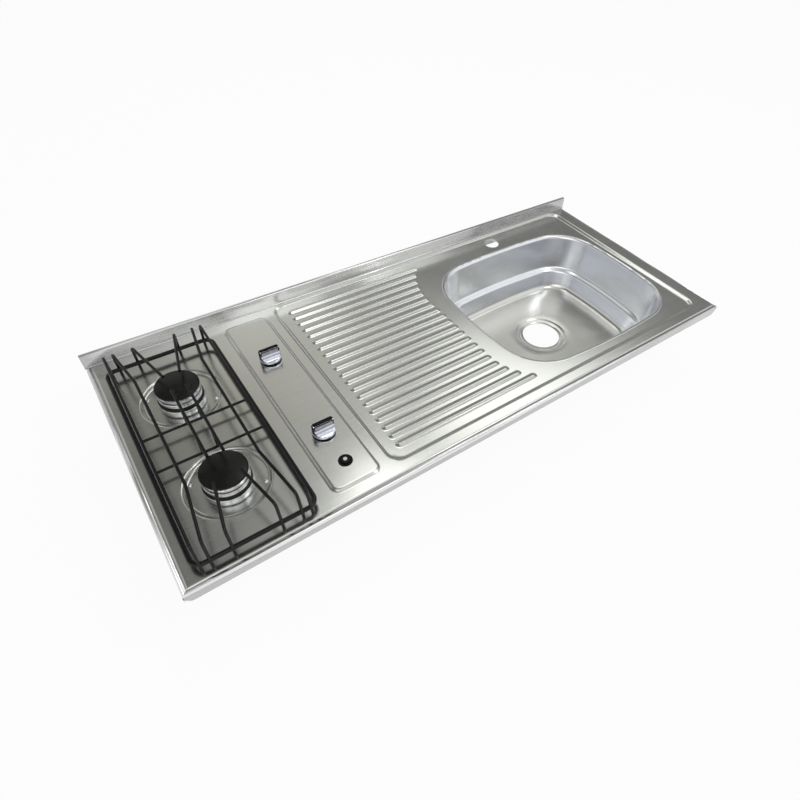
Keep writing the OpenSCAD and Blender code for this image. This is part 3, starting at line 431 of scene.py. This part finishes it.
def box_distance(x, y, x_span, y_span, corner):
    """Distance to a rectangle with round corners, negative inside."""
    mid_x, mid_y = sum(x_span) / 2, sum(y_span) / 2
    qx = np.abs(x - mid_x) - (x_span[1] - x_span[0]) / 2 + corner
    qy = np.abs(y - mid_y) - (y_span[1] - y_span[0]) / 2 + corner
    outside = np.hypot(np.maximum(qx, 0), np.maximum(qy, 0))
    return outside + np.minimum(np.maximum(qx, qy), 0) - corner


def inside_wall(distance, half_width):
    """1 inside a pressed outline, 0 outside, with a soft wall between."""
    return 1 - smooth_step((distance + half_width) / (2 * half_width))


TRAY = ((350.0, 1157.0), (30.5, 505.5), 26.0)
TRAY_DEPTH = 4.0
TRAY_WALL = 4.7
PANEL = ((243.5, 326.0), (30.0, 485.0), 13.0)
PANEL_RISE = 3.0
PANEL_WALL = 3.2
BURNERS = ((118.0, 142.0), (118.0, 353.5))
DISH_RADIUS = 64.0
DISH_DEPTH = 5.0
DISH_WALL = 3.6
RIB_COUNT = 20
RIB_FIRST = 60.5
RIB_PITCH = 21.9
RIB_LEFT = 373.0
RIB_RIGHT = 649.0
RIB_HALF = 6.5
RIB_FOOT = 7.8
RIB_HEIGHT = 2.2
RIB_CURVES = ((148.0, 111.0), (361.0, 170.0))


def rib_end(y):
    """Where the rib at y ends on the bowl's side; the first and last ribs end on arcs."""
    (front_y, front_r), (back_y, back_r) = RIB_CURVES
    if y < front_y:
        return RIB_RIGHT + front_r - math.sqrt(front_r ** 2 - (front_y - y) ** 2)
    if y > back_y:
        return RIB_RIGHT + back_r - math.sqrt(back_r ** 2 - (y - back_y) ** 2)
    return RIB_RIGHT


def top_height(x, y):
    """Height above the flat top, in millimetres."""
    z = PANEL_RISE * inside_wall(box_distance(x, y, *PANEL), PANEL_WALL)
    z = z - TRAY_DEPTH * inside_wall(box_distance(x, y, *TRAY), TRAY_WALL)
    for bx, by in BURNERS:
        z = z - DISH_DEPTH * inside_wall(np.hypot(x - bx, y - by) - DISH_RADIUS, DISH_WALL)
    for k in range(RIB_COUNT):
        rib_y = RIB_FIRST + RIB_PITCH * k
        x0 = RIB_LEFT + RIB_HALF
        x1 = rib_end(rib_y) - RIB_HALF
        d = np.hypot(np.maximum(np.maximum(x0 - x, x - x1), 0), y - rib_y)
        wave = 0.5 + 0.5 * np.cos(np.pi * np.clip(d / RIB_FOOT, 0, 1))
        z = z + RIB_HEIGHT * wave
    return z


# Bowl outline: eight arcs, two a side and one a corner

BOWL_CENTRE = np.array([913.5, 247.0])
BOWL_HALF = (226.0, 188.0)
BOWL_CORNER = 100.0
SWELL_X = math.radians(6)
SWELL_Y = math.radians(5)


def bowl_arcs():
    """Radii of the swelling long and short sides, without the corner radius."""
    a = BOWL_HALF[0] - BOWL_CORNER
    b = BOWL_HALF[1] - BOWL_CORNER
    flat_x, flat_y = 1 - math.cos(SWELL_X), 1 - math.cos(SWELL_Y)
    det = math.sin(SWELL_Y) * math.sin(SWELL_X) - flat_x * flat_y
    long_r = (a * math.sin(SWELL_X) - b * flat_x) / det
    short_r = (b * math.sin(SWELL_Y) - a * flat_y) / det
    return long_r, short_r


LONG_R, SHORT_R = bowl_arcs()


def outline_point(w, inset):
    """Point of the bowl's outline, set in by a distance, where it faces direction w."""
    c, s = math.cos(w), math.sin(w)
    fold = math.atan2(abs(s), abs(c))
    if fold <= SWELL_X:
        middle = (BOWL_HALF[0] - SHORT_R - BOWL_CORNER, 0.0)
        r = SHORT_R + BOWL_CORNER - inset
    elif fold >= math.pi / 2 - SWELL_Y:
        middle = (0.0, BOWL_HALF[1] - LONG_R - BOWL_CORNER)
        r = LONG_R + BOWL_CORNER - inset
    else:
        middle = (LONG_R * math.sin(SWELL_Y), SHORT_R * math.sin(SWELL_X))
        r = BOWL_CORNER - inset
    px = middle[0] + r * math.cos(fold)
    py = middle[1] + r * math.sin(fold)
    return np.array([math.copysign(px, c), math.copysign(py, s)]) + BOWL_CENTRE


SIDE_STEPS = 24
CORNER_STEPS = 26


def outline_turns():
    """Directions that the outline's points face, once round."""
    turns = []
    for q in range(4):
        start, end = (SWELL_X, SWELL_Y) if q % 2 == 0 else (SWELL_Y, SWELL_X)
        base = q * math.pi / 2
        for k in range(SIDE_STEPS):
            turns.append(base - start + 2 * start * k / SIDE_STEPS)
        for k in range(CORNER_STEPS):
            turns.append(base + start + (math.pi / 2 - start - end) * k / CORNER_STEPS)
    return turns


TURNS = outline_turns()
RIM_JOINT = 7.0
RIM_LAP = 4.0
TAP = (915.0, 472.0)
TAP_RADIUS = 17.5
TAP_LIP = 22.0
TAP_LAP = 2.2
KNOBS = ((285.0, 148.0), (285.0, 360.5))
IGNITER = (286.0, 76.0)
BURNER_HOLE = 31.0
SPINDLE_HOLE = 4.4
IGNITER_HOLE = 10.6


def lines(*stretches):
    """Grid lines: (from, to, spacing) stretches, joined."""
    out = []
    for low, high, gap in stretches:
        count = max(1, round((high - low) / gap))
        out += [low + (high - low) * k / count for k in range(count)]
    out.append(stretches[-1][1])
    return np.array(out)


# Close lines over the dishes, the panel's and the tray's walls and the ribs' ends
GRID_X = lines(
    (8, 48, 6), (48, 188, 1.6), (188, 238, 6), (238, 250, 1.0), (250, 270, 4), (270, 301, 1.6),
    (301, 319, 4), (319, 331, 1.0), (331, 343, 4), (343, 357, 1.0), (357, 371, 3.5), (371, 388, 1.2),
    (388, 636, 8), (636, 700, 1.2), (700, 1146, 3), (1146, 1164, 1.0), (1164, 1192, 5),
)
GRID_Y = lines((5, 22, 4), (22, 44, 1.0), (44, 484, 1.5), (484, 500, 1.2), (500, 510, 0.9))


def inside_outline(x, y, grow):
    """Whether plan points lie inside the bowl's outline grown by a distance."""
    ring = np.array([outline_point(w, -grow) for w in TURNS])
    inside = np.zeros(x.shape, bool)
    j = len(ring) - 1
    for i in range(len(ring)):
        xi, yi = ring[i]
        xj, yj = ring[j]
        crosses = (yi > y) != (yj > y)
        if abs(yj - yi) > 1e-9:
            inside ^= crosses & (x < (xj - xi) * (y - yi) / (yj - yi) + xi)
        j = i
    return inside


def build_top():
    """The pressed skin between the rolled edges, with its openings left out."""
    gx, gy = np.meshgrid(GRID_X, GRID_Y)
    gz = TOP + top_height(gx, gy)
    points = np.stack([at_x(gx), at_y(gy), gz], -1).reshape(-1, 3)
    mx = (gx[:-1, :-1] + gx[1:, 1:]) / 2
    my = (gy[:-1, :-1] + gy[1:, 1:]) / 2
    holes = [(TAP, TAP_RADIUS + TAP_LAP), (IGNITER, IGNITER_HOLE)]
    holes += [(burner, BURNER_HOLE) for burner in BURNERS]
    holes += [(knob, SPINDLE_HOLE) for knob in KNOBS]
    drop = inside_outline(mx, my, RIM_JOINT - RIM_LAP)
    for (x, y), radius in holes:
        drop |= np.hypot(mx - x, my - y) < radius
    rows, columns = gx.shape
    keep = ~drop.reshape(-1)
    faces = [f for f, k in zip(grid_faces(rows, columns), keep) if k]
    used = np.unique(np.array(faces).reshape(-1))
    place = np.full(len(points), -1)
    place[used] = np.arange(len(used))
    faces = [tuple(int(v) for v in q) for q in place[np.array(faces)]]
    piece(
        "pressed_top", points[used], faces, TOP_STEEL, ROOT, ("worktop",),
        thick=SHEET, sharp=None,
    )


build_top()

# A flat lip round the tap hole, with its cut edge
TRAY_FLOOR = TOP - TRAY_DEPTH
LAP_LIFT = 0.03
lathe(
    "tap_hole_lip",
    [(TAP_RADIUS, TRAY_FLOOR - SHEET), (TAP_RADIUS, TRAY_FLOOR - 0.25),
     (TAP_RADIUS + 0.1, TRAY_FLOOR - 0.05), (TAP_RADIUS + 0.35, TRAY_FLOOR + LAP_LIFT),
     (TAP_LIP, TRAY_FLOOR + LAP_LIFT)],
    (at_x(TAP[0]), at_y(TAP[1])), TOP_STEEL, ROOT,
)

# Rolled edges and skirts at the front and the two ends
FRONT_FOLD = 5.0
END_FOLD = 8.0
NOTCH = (9.0, 12.0)
NOTCH_LEAN = 3.0
UPSTAND_Y = 512.0
UPSTAND_FOLD = 2.0
UPSTAND_PEAK = 28.0
UPSTAND_HEM = 6.0
LEDGE_BENDS = (3.0, 2.6)


def fold_inset(z, radius):
    """How far in from the skirt the rolled edge is at a height."""
    low = TOP - radius
    if z <= low:
        return 0.0
    return radius - math.sqrt(max(0.0, radius ** 2 - (z - low) ** 2))


def build_skirts():
    """One strip that goes down the left end, along the front and up the right end, height by height."""
    heights = [
        TOP - fold * (1 - math.cos(math.radians(a)))
        for fold in (END_FOLD, FRONT_FOLD) for a in range(0, 91, 6)
    ]
    heights += [TOP - END_FOLD, NOTCH[1], 8.0, 4.0, 0.0]
    heights = sorted(set(round(h, 4) for h in heights), reverse=True)
    back_y = at_y(UPSTAND_Y)
    points = []
    faces = []
    for z in heights:
        x_in = fold_inset(z, END_FOLD)
        y_in = fold_inset(z, FRONT_FOLD)
        slant = max(0.0, 1 - z / NOTCH[1])
        left, right = at_x(x_in), at_x(LENGTH - x_in)
        y = at_y(y_in)
        side_y = y + NOTCH_LEAN * slant
        points += [(left, back_y, z), (left, side_y, z), (right, side_y, z), (right, back_y, z)]
        cut = NOTCH[0] * slant
        points += [(left + cut, y, z), (right - cut, y, z)]
    columns = 6
    for i in range(len(heights) - 1):
        a, b = i * columns, (i + 1) * columns
        faces.append((a + 1, a, b, b + 1))
        faces.append((a + 5, a + 4, b + 4, b + 5))
        faces.append((a + 3, a + 2, b + 2, b + 3))
    piece("rolled_skirts", points, faces, PAINTED_LIGHT_EDGE_STEEL, ROOT, (), thick=SHEET)


build_skirts()


def build_upstand():
    """The upstand along the back, its ledge and its hem."""
    y0 = UPSTAND_Y - UPSTAND_FOLD
    peak = TOP + UPSTAND_PEAK
    path = [(y0, TOP), (UPSTAND_Y, TOP), (UPSTAND_Y, peak), (DEPTH, peak), (DEPTH, peak - UPSTAND_HEM)]
    profile = rounded(path, [0, UPSTAND_FOLD - 0.01, *LEDGE_BENDS, 0], 8)
    points = []
    for y, z in profile:
        points += [(at_x(0), at_y(y), z), (at_x(LENGTH), at_y(y), z)]
    faces = [(2 * i, 2 * i + 1, 2 * i + 3, 2 * i + 2) for i in range(len(profile) - 1)]
    piece("back_upstand", points, faces, PAINTED_LIGHT_BACK_STEEL, ROOT, (), thick=SHEET)


build_upstand()

# Bowl
BOWL_DEPTH = 132.0
DRAIN = np.array([913.5, 250.0])
DRAIN_FALL = 2.0
DRAIN_RECESS = 62.0
DRAIN_RADIUS = 45.0
DRAIN_STEP = 3.65
FLOOR_STEPS = 7
BOWL_PATH = [
    (-RIM_JOINT, 0.0), (1.2, 0.0), (14.2, -84.0), (25.5, -90.5), (41.0, -BOWL_DEPTH), (54.0, -BOWL_DEPTH),
]
BOWL_BENDS = [0, 8, 7, 8, 16, 0]


def build_bowl():
    """Rim, walls with a shoulder, floor that falls to the waste and the recess round its hole."""
    rings = []
    for inset, z in rounded(BOWL_PATH, BOWL_BENDS, 10):
        lift = LAP_LIFT if inset < -5 else 0.0
        ring = [outline_point(w, inset) for w in TURNS]
        rings.append((ring, TRAY_FLOOR + z + lift))
    edge = rings[-1][0]
    rays = [(p - DRAIN) / np.linalg.norm(p - DRAIN) for p in edge]
    recess = [
        (DRAIN_RECESS + 1.6, 0.0), (DRAIN_RECESS + 0.6, -0.18), (DRAIN_RECESS - 0.3, -0.8),
        (DRAIN_RECESS - 3.0, -3.2), (DRAIN_RECESS - 4.0, -3.6), (DRAIN_RECESS - 5.4, -DRAIN_STEP),
        (DRAIN_RADIUS, -DRAIN_STEP),
    ]
    base = TRAY_FLOOR - BOWL_DEPTH
    for k in range(1, FLOOR_STEPS):
        t = k / FLOOR_STEPS
        ring = [(1 - t) * p + t * (DRAIN + r * recess[0][0]) for p, r in zip(edge, rays)]
        rings.append((ring, base - DRAIN_FALL * smooth_step(np.float64(t))))
    for radius, z in recess:
        rings.append(([DRAIN + r * radius for r in rays], base - DRAIN_FALL + z))
    points = [(at_x(x), at_y(y), z) for ring, z in rings for x, y in ring]
    faces = grid_faces(len(rings), len(TURNS), closed=True)
    piece(
        "bowl_skin", points, faces, PAINTED_LIGHT_BOWL_STEEL, ROOT, ("bowl", "bowl_floor", "waste_seat"),
        thick=SHEET, sharp=None,
    )


build_bowl()

# Burners
SIDES = ("front", "rear")
DISH_Z = TOP - DISH_DEPTH
FLANGE_TOP = TOP + 1.5
BASE_TOP = TOP + 8.0
CUP_TOP = TOP + 16.5
HEAD_TOP = TOP + 28.0
CAP_RADIUS = 36.5
CAP_HEIGHT = 7.0
CAP_DOME = 3.2
DOME_STEPS = 14


def build_burner(i):
    """Skirt, pale flange, two pale bands and the domed cap of one burner."""
    centre = (at_x(BURNERS[i][0]), at_y(BURNERS[i][1]))
    side = SIDES[i]
    lathe(
        "burner_skirt_" + side,
        [(35.0, FLANGE_TOP), (37.5, FLANGE_TOP), (37.9, FLANGE_TOP + 0.4), (38.0, BASE_TOP - 2.6),
         (37.6, BASE_TOP - 1.2), (36.9, BASE_TOP - 0.35), (35.9, BASE_TOP), (28.0, BASE_TOP),
         (27.55, BASE_TOP - 0.4), (27.55, BASE_TOP - 2.5), (34.2, BASE_TOP - 2.5), (35.0, FLANGE_TOP)],
        centre, ENAMEL, ROOT, ("burner_base_" + side,),
    )
    lathe(
        "burner_flange_" + side,
        [(35.2, DISH_Z), (38.5, DISH_Z), (38.5, FLANGE_TOP - 2.2), (38.35, FLANGE_TOP - 1.2),
         (37.9, FLANGE_TOP - 0.5), (37.2, FLANGE_TOP - 0.1), (35.2, FLANGE_TOP - 0.1), (35.2, DISH_Z)],
        centre, CAST, ROOT,
    )
    lathe(
        "burner_cup_band_" + side,
        [(35.3, BASE_TOP + 0.3), (35.9, BASE_TOP + 0.6), (36.2, BASE_TOP + 2.4), (36.2, CUP_TOP - 2.6),
         (35.95, CUP_TOP - 1.2), (35.3, CUP_TOP - 0.5), (35.3, BASE_TOP + 0.3)],
        centre, CAST, ROOT,
    )
    lathe(
        "burner_head_band_" + side,
        [(33.8, CUP_TOP + 2.0), (34.5, CUP_TOP + 2.4), (34.9, CUP_TOP + 4.0), (34.5, CUP_TOP + 5.8),
         (33.8, CUP_TOP + 6.3), (33.8, CUP_TOP + 2.0)],
        centre, CAST, "burner_" + side,
    )
    edge = CAP_HEIGHT - CAP_DOME
    reach = CAP_RADIUS - 2.0
    dome = []
    for k in range(DOME_STEPS + 1):
        r = reach - reach * k / DOME_STEPS
        dome.append((r, HEAD_TOP + edge + CAP_DOME * (1 - (r / CAP_RADIUS) ** 2)))
    shell = [
        (26.0, HEAD_TOP), (26.0, HEAD_TOP - 3.0), (28.9, HEAD_TOP - 3.0), (28.9, HEAD_TOP),
        (CAP_RADIUS - 0.7, HEAD_TOP), (CAP_RADIUS - 0.2, HEAD_TOP + 0.2), (CAP_RADIUS, HEAD_TOP + 0.7),
        (CAP_RADIUS, HEAD_TOP + edge - 1.6), (CAP_RADIUS - 0.2, HEAD_TOP + edge - 0.75),
        (CAP_RADIUS - 0.7, HEAD_TOP + edge - 0.15), (CAP_RADIUS - 1.35, HEAD_TOP + edge + 0.14),
    ]
    under = [(0.0, HEAD_TOP + 0.4), (25.5, HEAD_TOP + 0.4)]
    lathe(
        "burner_cap_shell_" + side, under + shell + dome, centre, CAP_ENAMEL, "cap_" + side,
        ("burner_cap_" + side,),
    )


for index in (0, 1):
    build_burner(index)

# Grate
GRATE_X = 117.5
BAR_X = (27.0, 211.0)
BAR_Y = (20.7, 460.8)
BAR_Z = TOP + 15.0
BAR_R = 3.75
BAR_CORNER = 16.0
ROD_R = 2.5
ROD_Z = TOP + 53.0
FOOT_Y = (17.2, 468.0)
RISE_Y = (27.6, 459.8)
ROD_BEND = 9.0
OUTER = 82.0
INNER_FOOT = 67.5
INNER_WAIST = 54.5
WAIST_Y = (128.0, 369.0)
FINGER_FOOT = 36.0
FINGER_TIP = (20.5, 13.5)
FINGER_TIP_Y = (110.0, 358.0)
CORNER_PARTS = 8
WIRE_R = 2.3
WIRE_Y = (202.8, 274.7)
CENTRE_X = 12.0
CENTRE_Y = (158.0, 322.0)


def leg(offset, j):
    """Foot and bend of a rod beside the grate's middle line, in front (0) or at the back (1)."""
    x = GRATE_X + offset
    return [(at_x(x), at_y(FOOT_Y[j]), TOP), (at_x(x), at_y(RISE_Y[j]), ROD_Z)]


def grate_piece(name, paths, radius, node, closed=False):
    """Rods of the grate that stand for one of its nodes."""
    points, faces = rod_mesh(paths, radius, closed)
    piece(name, points, faces, ENAMEL, "grate", (node,))


def build_grate():
    """Long rods, fingers, frame bar, cross wires and middle rods."""
    long_rods = []
    fingers = []
    for s in (1, -1):
        long_rods.append(rounded(leg(s * OUTER, 0) + leg(s * OUTER, 1)[::-1], ROD_BEND, 8))
        waist = at_x(GRATE_X + s * INNER_WAIST)
        middle = [(waist, at_y(y), ROD_Z) for y in WAIST_Y]
        inner = leg(s * INNER_FOOT, 0) + middle + leg(s * INNER_FOOT, 1)[::-1]
        long_rods.append(rounded(inner, ROD_BEND, 8))
        for j in (0, 1):
            tip = (at_x(GRATE_X + s * FINGER_TIP[j]), at_y(FINGER_TIP_Y[j]), ROD_Z)
            fingers.append(rounded(leg(s * FINGER_FOOT, j) + [tip], ROD_BEND, 8))
    grate_piece("grate_rods", long_rods, ROD_R, "grate_long_rods")
    grate_piece("grate_pan_fingers", fingers, ROD_R, "grate_fingers")
    corners = []
    c = BAR_CORNER
    for q, (cx, cy) in enumerate((
        (BAR_X[1] - c, BAR_Y[1] - c), (BAR_X[0] + c, BAR_Y[1] - c),
        (BAR_X[0] + c, BAR_Y[0] + c), (BAR_X[1] - c, BAR_Y[0] + c),
    )):
        for k in range(CORNER_PARTS + 1):
            w = math.pi / 2 * (q + k / CORNER_PARTS)
            corners.append((at_x(cx + c * math.cos(w)), at_y(cy + c * math.sin(w)), BAR_Z))
    grate_piece("grate_frame_bar", [corners], BAR_R, "grate_frame", closed=True)
    wires = [
        [(at_x(BAR_X[0]), at_y(y), BAR_Z), (at_x(BAR_X[1]), at_y(y), BAR_Z)] for y in WIRE_Y
    ]
    grate_piece("grate_cross_wires", wires, WIRE_R, "grate_wires")
    middle = []
    for s in (1, -1):
        x = at_x(GRATE_X + s * CENTRE_X)
        middle.append([(x, at_y(y), ROD_Z) for y in CENTRE_Y])
        for y in WIRE_Y:
            middle.append([(x, at_y(y), BAR_Z), (x, at_y(y), ROD_Z)])
    grate_piece("grate_middle_rods", middle, ROD_R, "grate_centre_rods")


build_grate()

# Knobs
PANEL_Z = TOP + PANEL_RISE
KNOB_R = 20.0
SPINDLE_R = 3.2
KNOB_LOW = PANEL_Z + 3.3
KNOB_FOOT = KNOB_LOW + 3.7
KNOB_TOP = PANEL_Z + 26.0
GRIP_HALF = 4.5
GRIP_FILLET = 12.0
GRIP_REACH = 18.7
GRIP_STEPS = 24
FLANK_STEPS = 18
INLAY_HALF = 4.65
INLAY_THICK = 0.5


def build_knob(i):
    """A round foot, a grip that flares into it on both sides and a black strip over the grip."""
    cx, cy = at_x(KNOBS[i][0]), at_y(KNOBS[i][1])
    side = SIDES[i]
    body = "knob_" + side
    lathe(
        "knob_foot_" + side,
        [(SPINDLE_R, KNOB_LOW + 1.0), (18.0, KNOB_LOW + 1.0), (18.0, KNOB_LOW), (19.6, KNOB_LOW),
         (KNOB_R, KNOB_LOW + 0.4), (KNOB_R, KNOB_FOOT - 1.2), (19.7, KNOB_FOOT - 0.5),
         (19.1, KNOB_FOOT - 0.1), (18.5, KNOB_FOOT), (SPINDLE_R, KNOB_FOOT)],
        (cx, cy), CHROME, body, ("knob_" + side,),
    )
    height = KNOB_TOP - KNOB_FOOT
    flank = []
    for k in range(FLANK_STEPS + 1):
        w = math.pi / 2 * k / FLANK_STEPS
        flank.append((GRIP_HALF + GRIP_FILLET * (1 - math.sin(w)), GRIP_FILLET * (1 - math.cos(w))))
    flank += [(GRIP_HALF, height - 0.5), (GRIP_HALF - 0.15, height - 0.15), (GRIP_HALF - 0.5, height)]
    section = [(-y, z) for y, z in flank] + [(y, z) for y, z in reversed(flank)]
    columns = [-1 + 2 * k / GRIP_STEPS for k in range(GRIP_STEPS + 1)]
    points = []
    for t in columns:
        for y, z in section:
            reach = math.sqrt(max(GRIP_REACH ** 2 - y * y, 1.0))
            points.append((cx + t * reach, cy + y, KNOB_FOOT + z))
    n = len(section)
    faces = grid_faces(len(columns), n)
    last = (len(columns) - 1) * n
    for k in range(n // 2 - 1):
        a, b = k, n - 1 - k
        faces.append((a, a + 1, b - 1, b))
        faces.append((last + b, last + b - 1, last + a + 1, last + a))
    weld(piece("knob_grip_" + side, points, faces, CHROME, body))
    top = KNOB_TOP - 0.5
    reach = GRIP_REACH - 0.4
    low = KNOB_FOOT + 1.0
    path = rounded([(-reach, low), (-reach, top), (reach, top), (reach, low)], 2.2, 6)
    profile = [
        (-INLAY_HALF, -1.8), (-INLAY_HALF, -0.7), (-INLAY_HALF + 0.3, 0.0), (-INLAY_HALF + 1.1, 0.6),
        (-INLAY_HALF + 2.4, 0.9), (0.0, 1.0),
    ]
    profile += [(-y, out) for y, out in reversed(profile[:-1])]
    points = []
    for k, p in enumerate(path):
        step = path[min(k + 1, len(path) - 1)] - path[max(k - 1, 0)]
        step /= np.linalg.norm(step)
        for y, out in profile:
            fall = GRIP_REACH - math.sqrt(GRIP_REACH ** 2 - y * y)
            px = p[0] - step[1] * out
            px -= math.copysign(fall, px) * min(1.0, abs(px) / reach)
            points.append((cx + px, cy + y, p[1] + step[0] * out))
    faces = grid_faces(len(path), len(profile))
    strip = piece(
        "knob_strip_" + side, points, faces, BLACK_PLASTIC, body, ("knob_inlay_" + side,)
    )
    solid = strip.modifiers.new("body", "SOLIDIFY")
    solid.thickness = INLAY_THICK * MM
    solid.offset = 0.0


for index in (0, 1):
    build_knob(index)

# Igniter
IGNITER_XY = (at_x(IGNITER[0]), at_y(IGNITER[1]))
lathe(
    "igniter_bezel",
    [(8.75, PANEL_Z - 6), (8.75, PANEL_Z + 0.9), (9.1, PANEL_Z + 1.25), (10.8, PANEL_Z + 1.3),
     (11.6, PANEL_Z + 1.05), (12.0, PANEL_Z + 0.5), (12.0, PANEL_Z)],
    IGNITER_XY, BLACK_PLASTIC, ROOT,
)
lathe(
    "igniter_press",
    [(0.0, TOP - 11.0), (8.6, TOP - 11.0), (8.6, PANEL_Z + 3.4), (8.4, PANEL_Z + 4.1),
     (7.8, PANEL_Z + 4.5), (7.0, PANEL_Z + 4.6), (3.9, PANEL_Z + 4.5), (3.5, PANEL_Z + 4.2),
     (3.4, PANEL_Z + 3.4), (0.0, PANEL_Z + 3.4)],
    IGNITER_XY, BLACK_PLASTIC, "igniter_push", ("igniter_button",),
)

# Floor, light and camera
FLOOR_Z = -0.1195
FLOOR_HALF = 14.0
FLOOR_GLOW = 0.93


def build_floor():
    """A pale floor that keeps a part of its shading where it is seen."""
    mesh = bpy.data.meshes.new("floor")
    corners = [(x * FLOOR_HALF, y * FLOOR_HALF, FLOOR_Z) for x, y in ((-1, -1), (1, -1), (1, 1), (-1, 1))]
    mesh.from_pydata(corners, [], [(0, 1, 2, 3)])
    floor = bpy.data.objects.new("floor", mesh)
    bpy.context.scene.collection.objects.link(floor)
    mat, tree, bsdf = shader("floor_white")
    bsdf.inputs["Base Color"].default_value = (0.86, 0.86, 0.86, 1)
    bsdf.inputs["Roughness"].default_value = 0.9
    bsdf.inputs["Specular IOR Level"].default_value = 0.0
    path = add(tree, "ShaderNodeLightPath")
    glow = add(tree, "ShaderNodeEmission")
    glow.inputs["Color"].default_value = (1, 1, 1, 1)
    glow.inputs["Strength"].default_value = 1.0
    seen = math_node(tree, "MAXIMUM", path.outputs["Is Camera Ray"], path.outputs["Is Glossy Ray"])
    share = math_node(tree, "MULTIPLY", seen, FLOOR_GLOW)
    mix = add(tree, "ShaderNodeMixShader")
    tree.links.new(share, mix.inputs["Fac"])
    tree.links.new(bsdf.outputs["BSDF"], mix.inputs[1])
    tree.links.new(glow.outputs["Emission"], mix.inputs[2])
    tree.links.new(mix.outputs["Shader"], tree.nodes["Material Output"].inputs["Surface"])
    mesh.materials.append(mat)


build_floor()


def build_world():
    """A pale room: bright in front, mid grey behind the worktop, darkest low on the right."""
    world = bpy.data.worlds.new("room")
    bpy.context.scene.world = world
    world.use_nodes = True
    tree = world.node_tree
    back = tree.nodes["Background"]
    parts = axes(tree, "Generated")
    height = parts["Z"]
    wall = ramp(tree, height, [
        (0.0, 0.5), (0.35, 0.5), (0.5, 0.85), (0.6, 0.92), (0.66, (0.72, 0.69, 0.63)),
        (0.72, (0.53, 0.52, 0.47)), (0.8, 0.49), (0.86, 0.58), (0.96, 0.85), (1.0, 0.75),
    ])
    corner = ramp(tree, height, [
        (0.0, 0.4), (0.3, 0.3), (0.45, 0.2), (0.57, 0.24), (0.64, 0.45), (0.7, 0.9), (0.76, 0.62),
        (0.82, 0.45), (0.96, 0.85), (1.0, 0.75),
    ])
    centre = ramp(tree, height, [
        (0.0, 0.95), (0.2, 0.85), (0.38, 0.42), (0.62, 0.42), (0.76, 1.0), (1.0, 0.75),
    ])
    side = ramp(tree, height, [(0.0, 0.95), (0.6, 1.0), (0.8, 1.0), (1.0, 0.75)])
    far = blend(tree, across(tree, parts["X"], 0.2, 0.42), wall, corner)
    left = across(tree, parts["X"], -0.02, 0.2, 0.6, 0.0)
    high = across(tree, height, 0.5, 0.62)
    shade = math_node(tree, "SUBTRACT", 1.0, math_node(tree, "MULTIPLY", left, high))
    dim = blend(tree, 1.0, far, shade, "MULTIPLY")
    aside = math_node(tree, "ABSOLUTE", math_node(tree, "ADD", parts["X"], 0.02), 0.0)
    near = blend(tree, across(tree, aside, 0.28, 0.5), centre, side)
    room = blend(tree, across(tree, parts["Y"], 0.15, -0.35), dim, near)
    path = add(tree, "ShaderNodeLightPath")
    white = blend(tree, path.outputs["Is Camera Ray"], room, (1, 1, 1, 1))
    tree.links.new(white, back.inputs["Color"])
    back.inputs["Strength"].default_value = 1.0


build_world()


def softbox(name, place, target, size, power):
    """A rectangular lamp that faces its target."""
    light = bpy.data.lights.new(name, "AREA")
    light.shape = "RECTANGLE"
    light.size, light.size_y = size
    light.energy = power
    obj = bpy.data.objects.new(name, light)
    bpy.context.scene.collection.objects.link(obj)
    obj.location = place
    aim = Vector(target) - Vector(place)
    obj.rotation_euler = aim.to_track_quat("-Z", "Y").to_euler()


softbox("window", (1.55, 0.95, 2.10), (0.05, -0.2, 0.0), (1.3, 0.8), 4.2)
softbox("fill", (-1.4, -2.2, 2.2), (0.0, 0.0, 0.0), (2.4, 1.6), 10.0)
softbox("key", (0.32, 0.75, 2.15), (-0.2, 0.1, 0.0), (0.5, 0.7), 2.5)
softbox("front_right", (1.1, -1.1, 2.3), (0.1, 0.0, 0.0), (0.9, 0.7), 6.0)

# Camera
SENSOR = 36.0
FOCAL_PX = 553.178
FRAME_PX = 800.0
AXIS_PX = 454.183
AZIMUTH = math.radians(-40.6765)
ELEVATION = math.radians(46.8645)
ROLL = math.radians(5.7610)
EYE = (-0.532774, -0.691992, 0.757940)


def build_camera():
    """The view from above the left front corner, rolled a little."""
    cam = bpy.data.cameras.new("view")
    cam.sensor_width = SENSOR
    cam.lens = FOCAL_PX / FRAME_PX * SENSOR
    cam.shift_x = -(AXIS_PX - FRAME_PX / 2) / FRAME_PX
    cam.clip_start = 0.01
    cam.clip_end = 60.0
    obj = bpy.data.objects.new("view", cam)
    bpy.context.scene.collection.objects.link(obj)
    level = math.cos(ELEVATION)
    back = Vector((math.sin(AZIMUTH) * level, -math.cos(AZIMUTH) * level, math.sin(ELEVATION)))
    right = (-back).cross(Vector((0, 0, 1))).normalized()
    up = right.cross(-back).normalized()
    c, s = math.cos(ROLL), math.sin(ROLL)
    right, up = c * right + s * up, -s * right + c * up
    turn = Matrix((right, up, back)).transposed().to_4x4()
    obj.matrix_world = Matrix.Translation(EYE) @ turn
    bpy.context.scene.camera = obj


build_camera()
bpy.context.scene.view_settings.view_transform = "Standard"
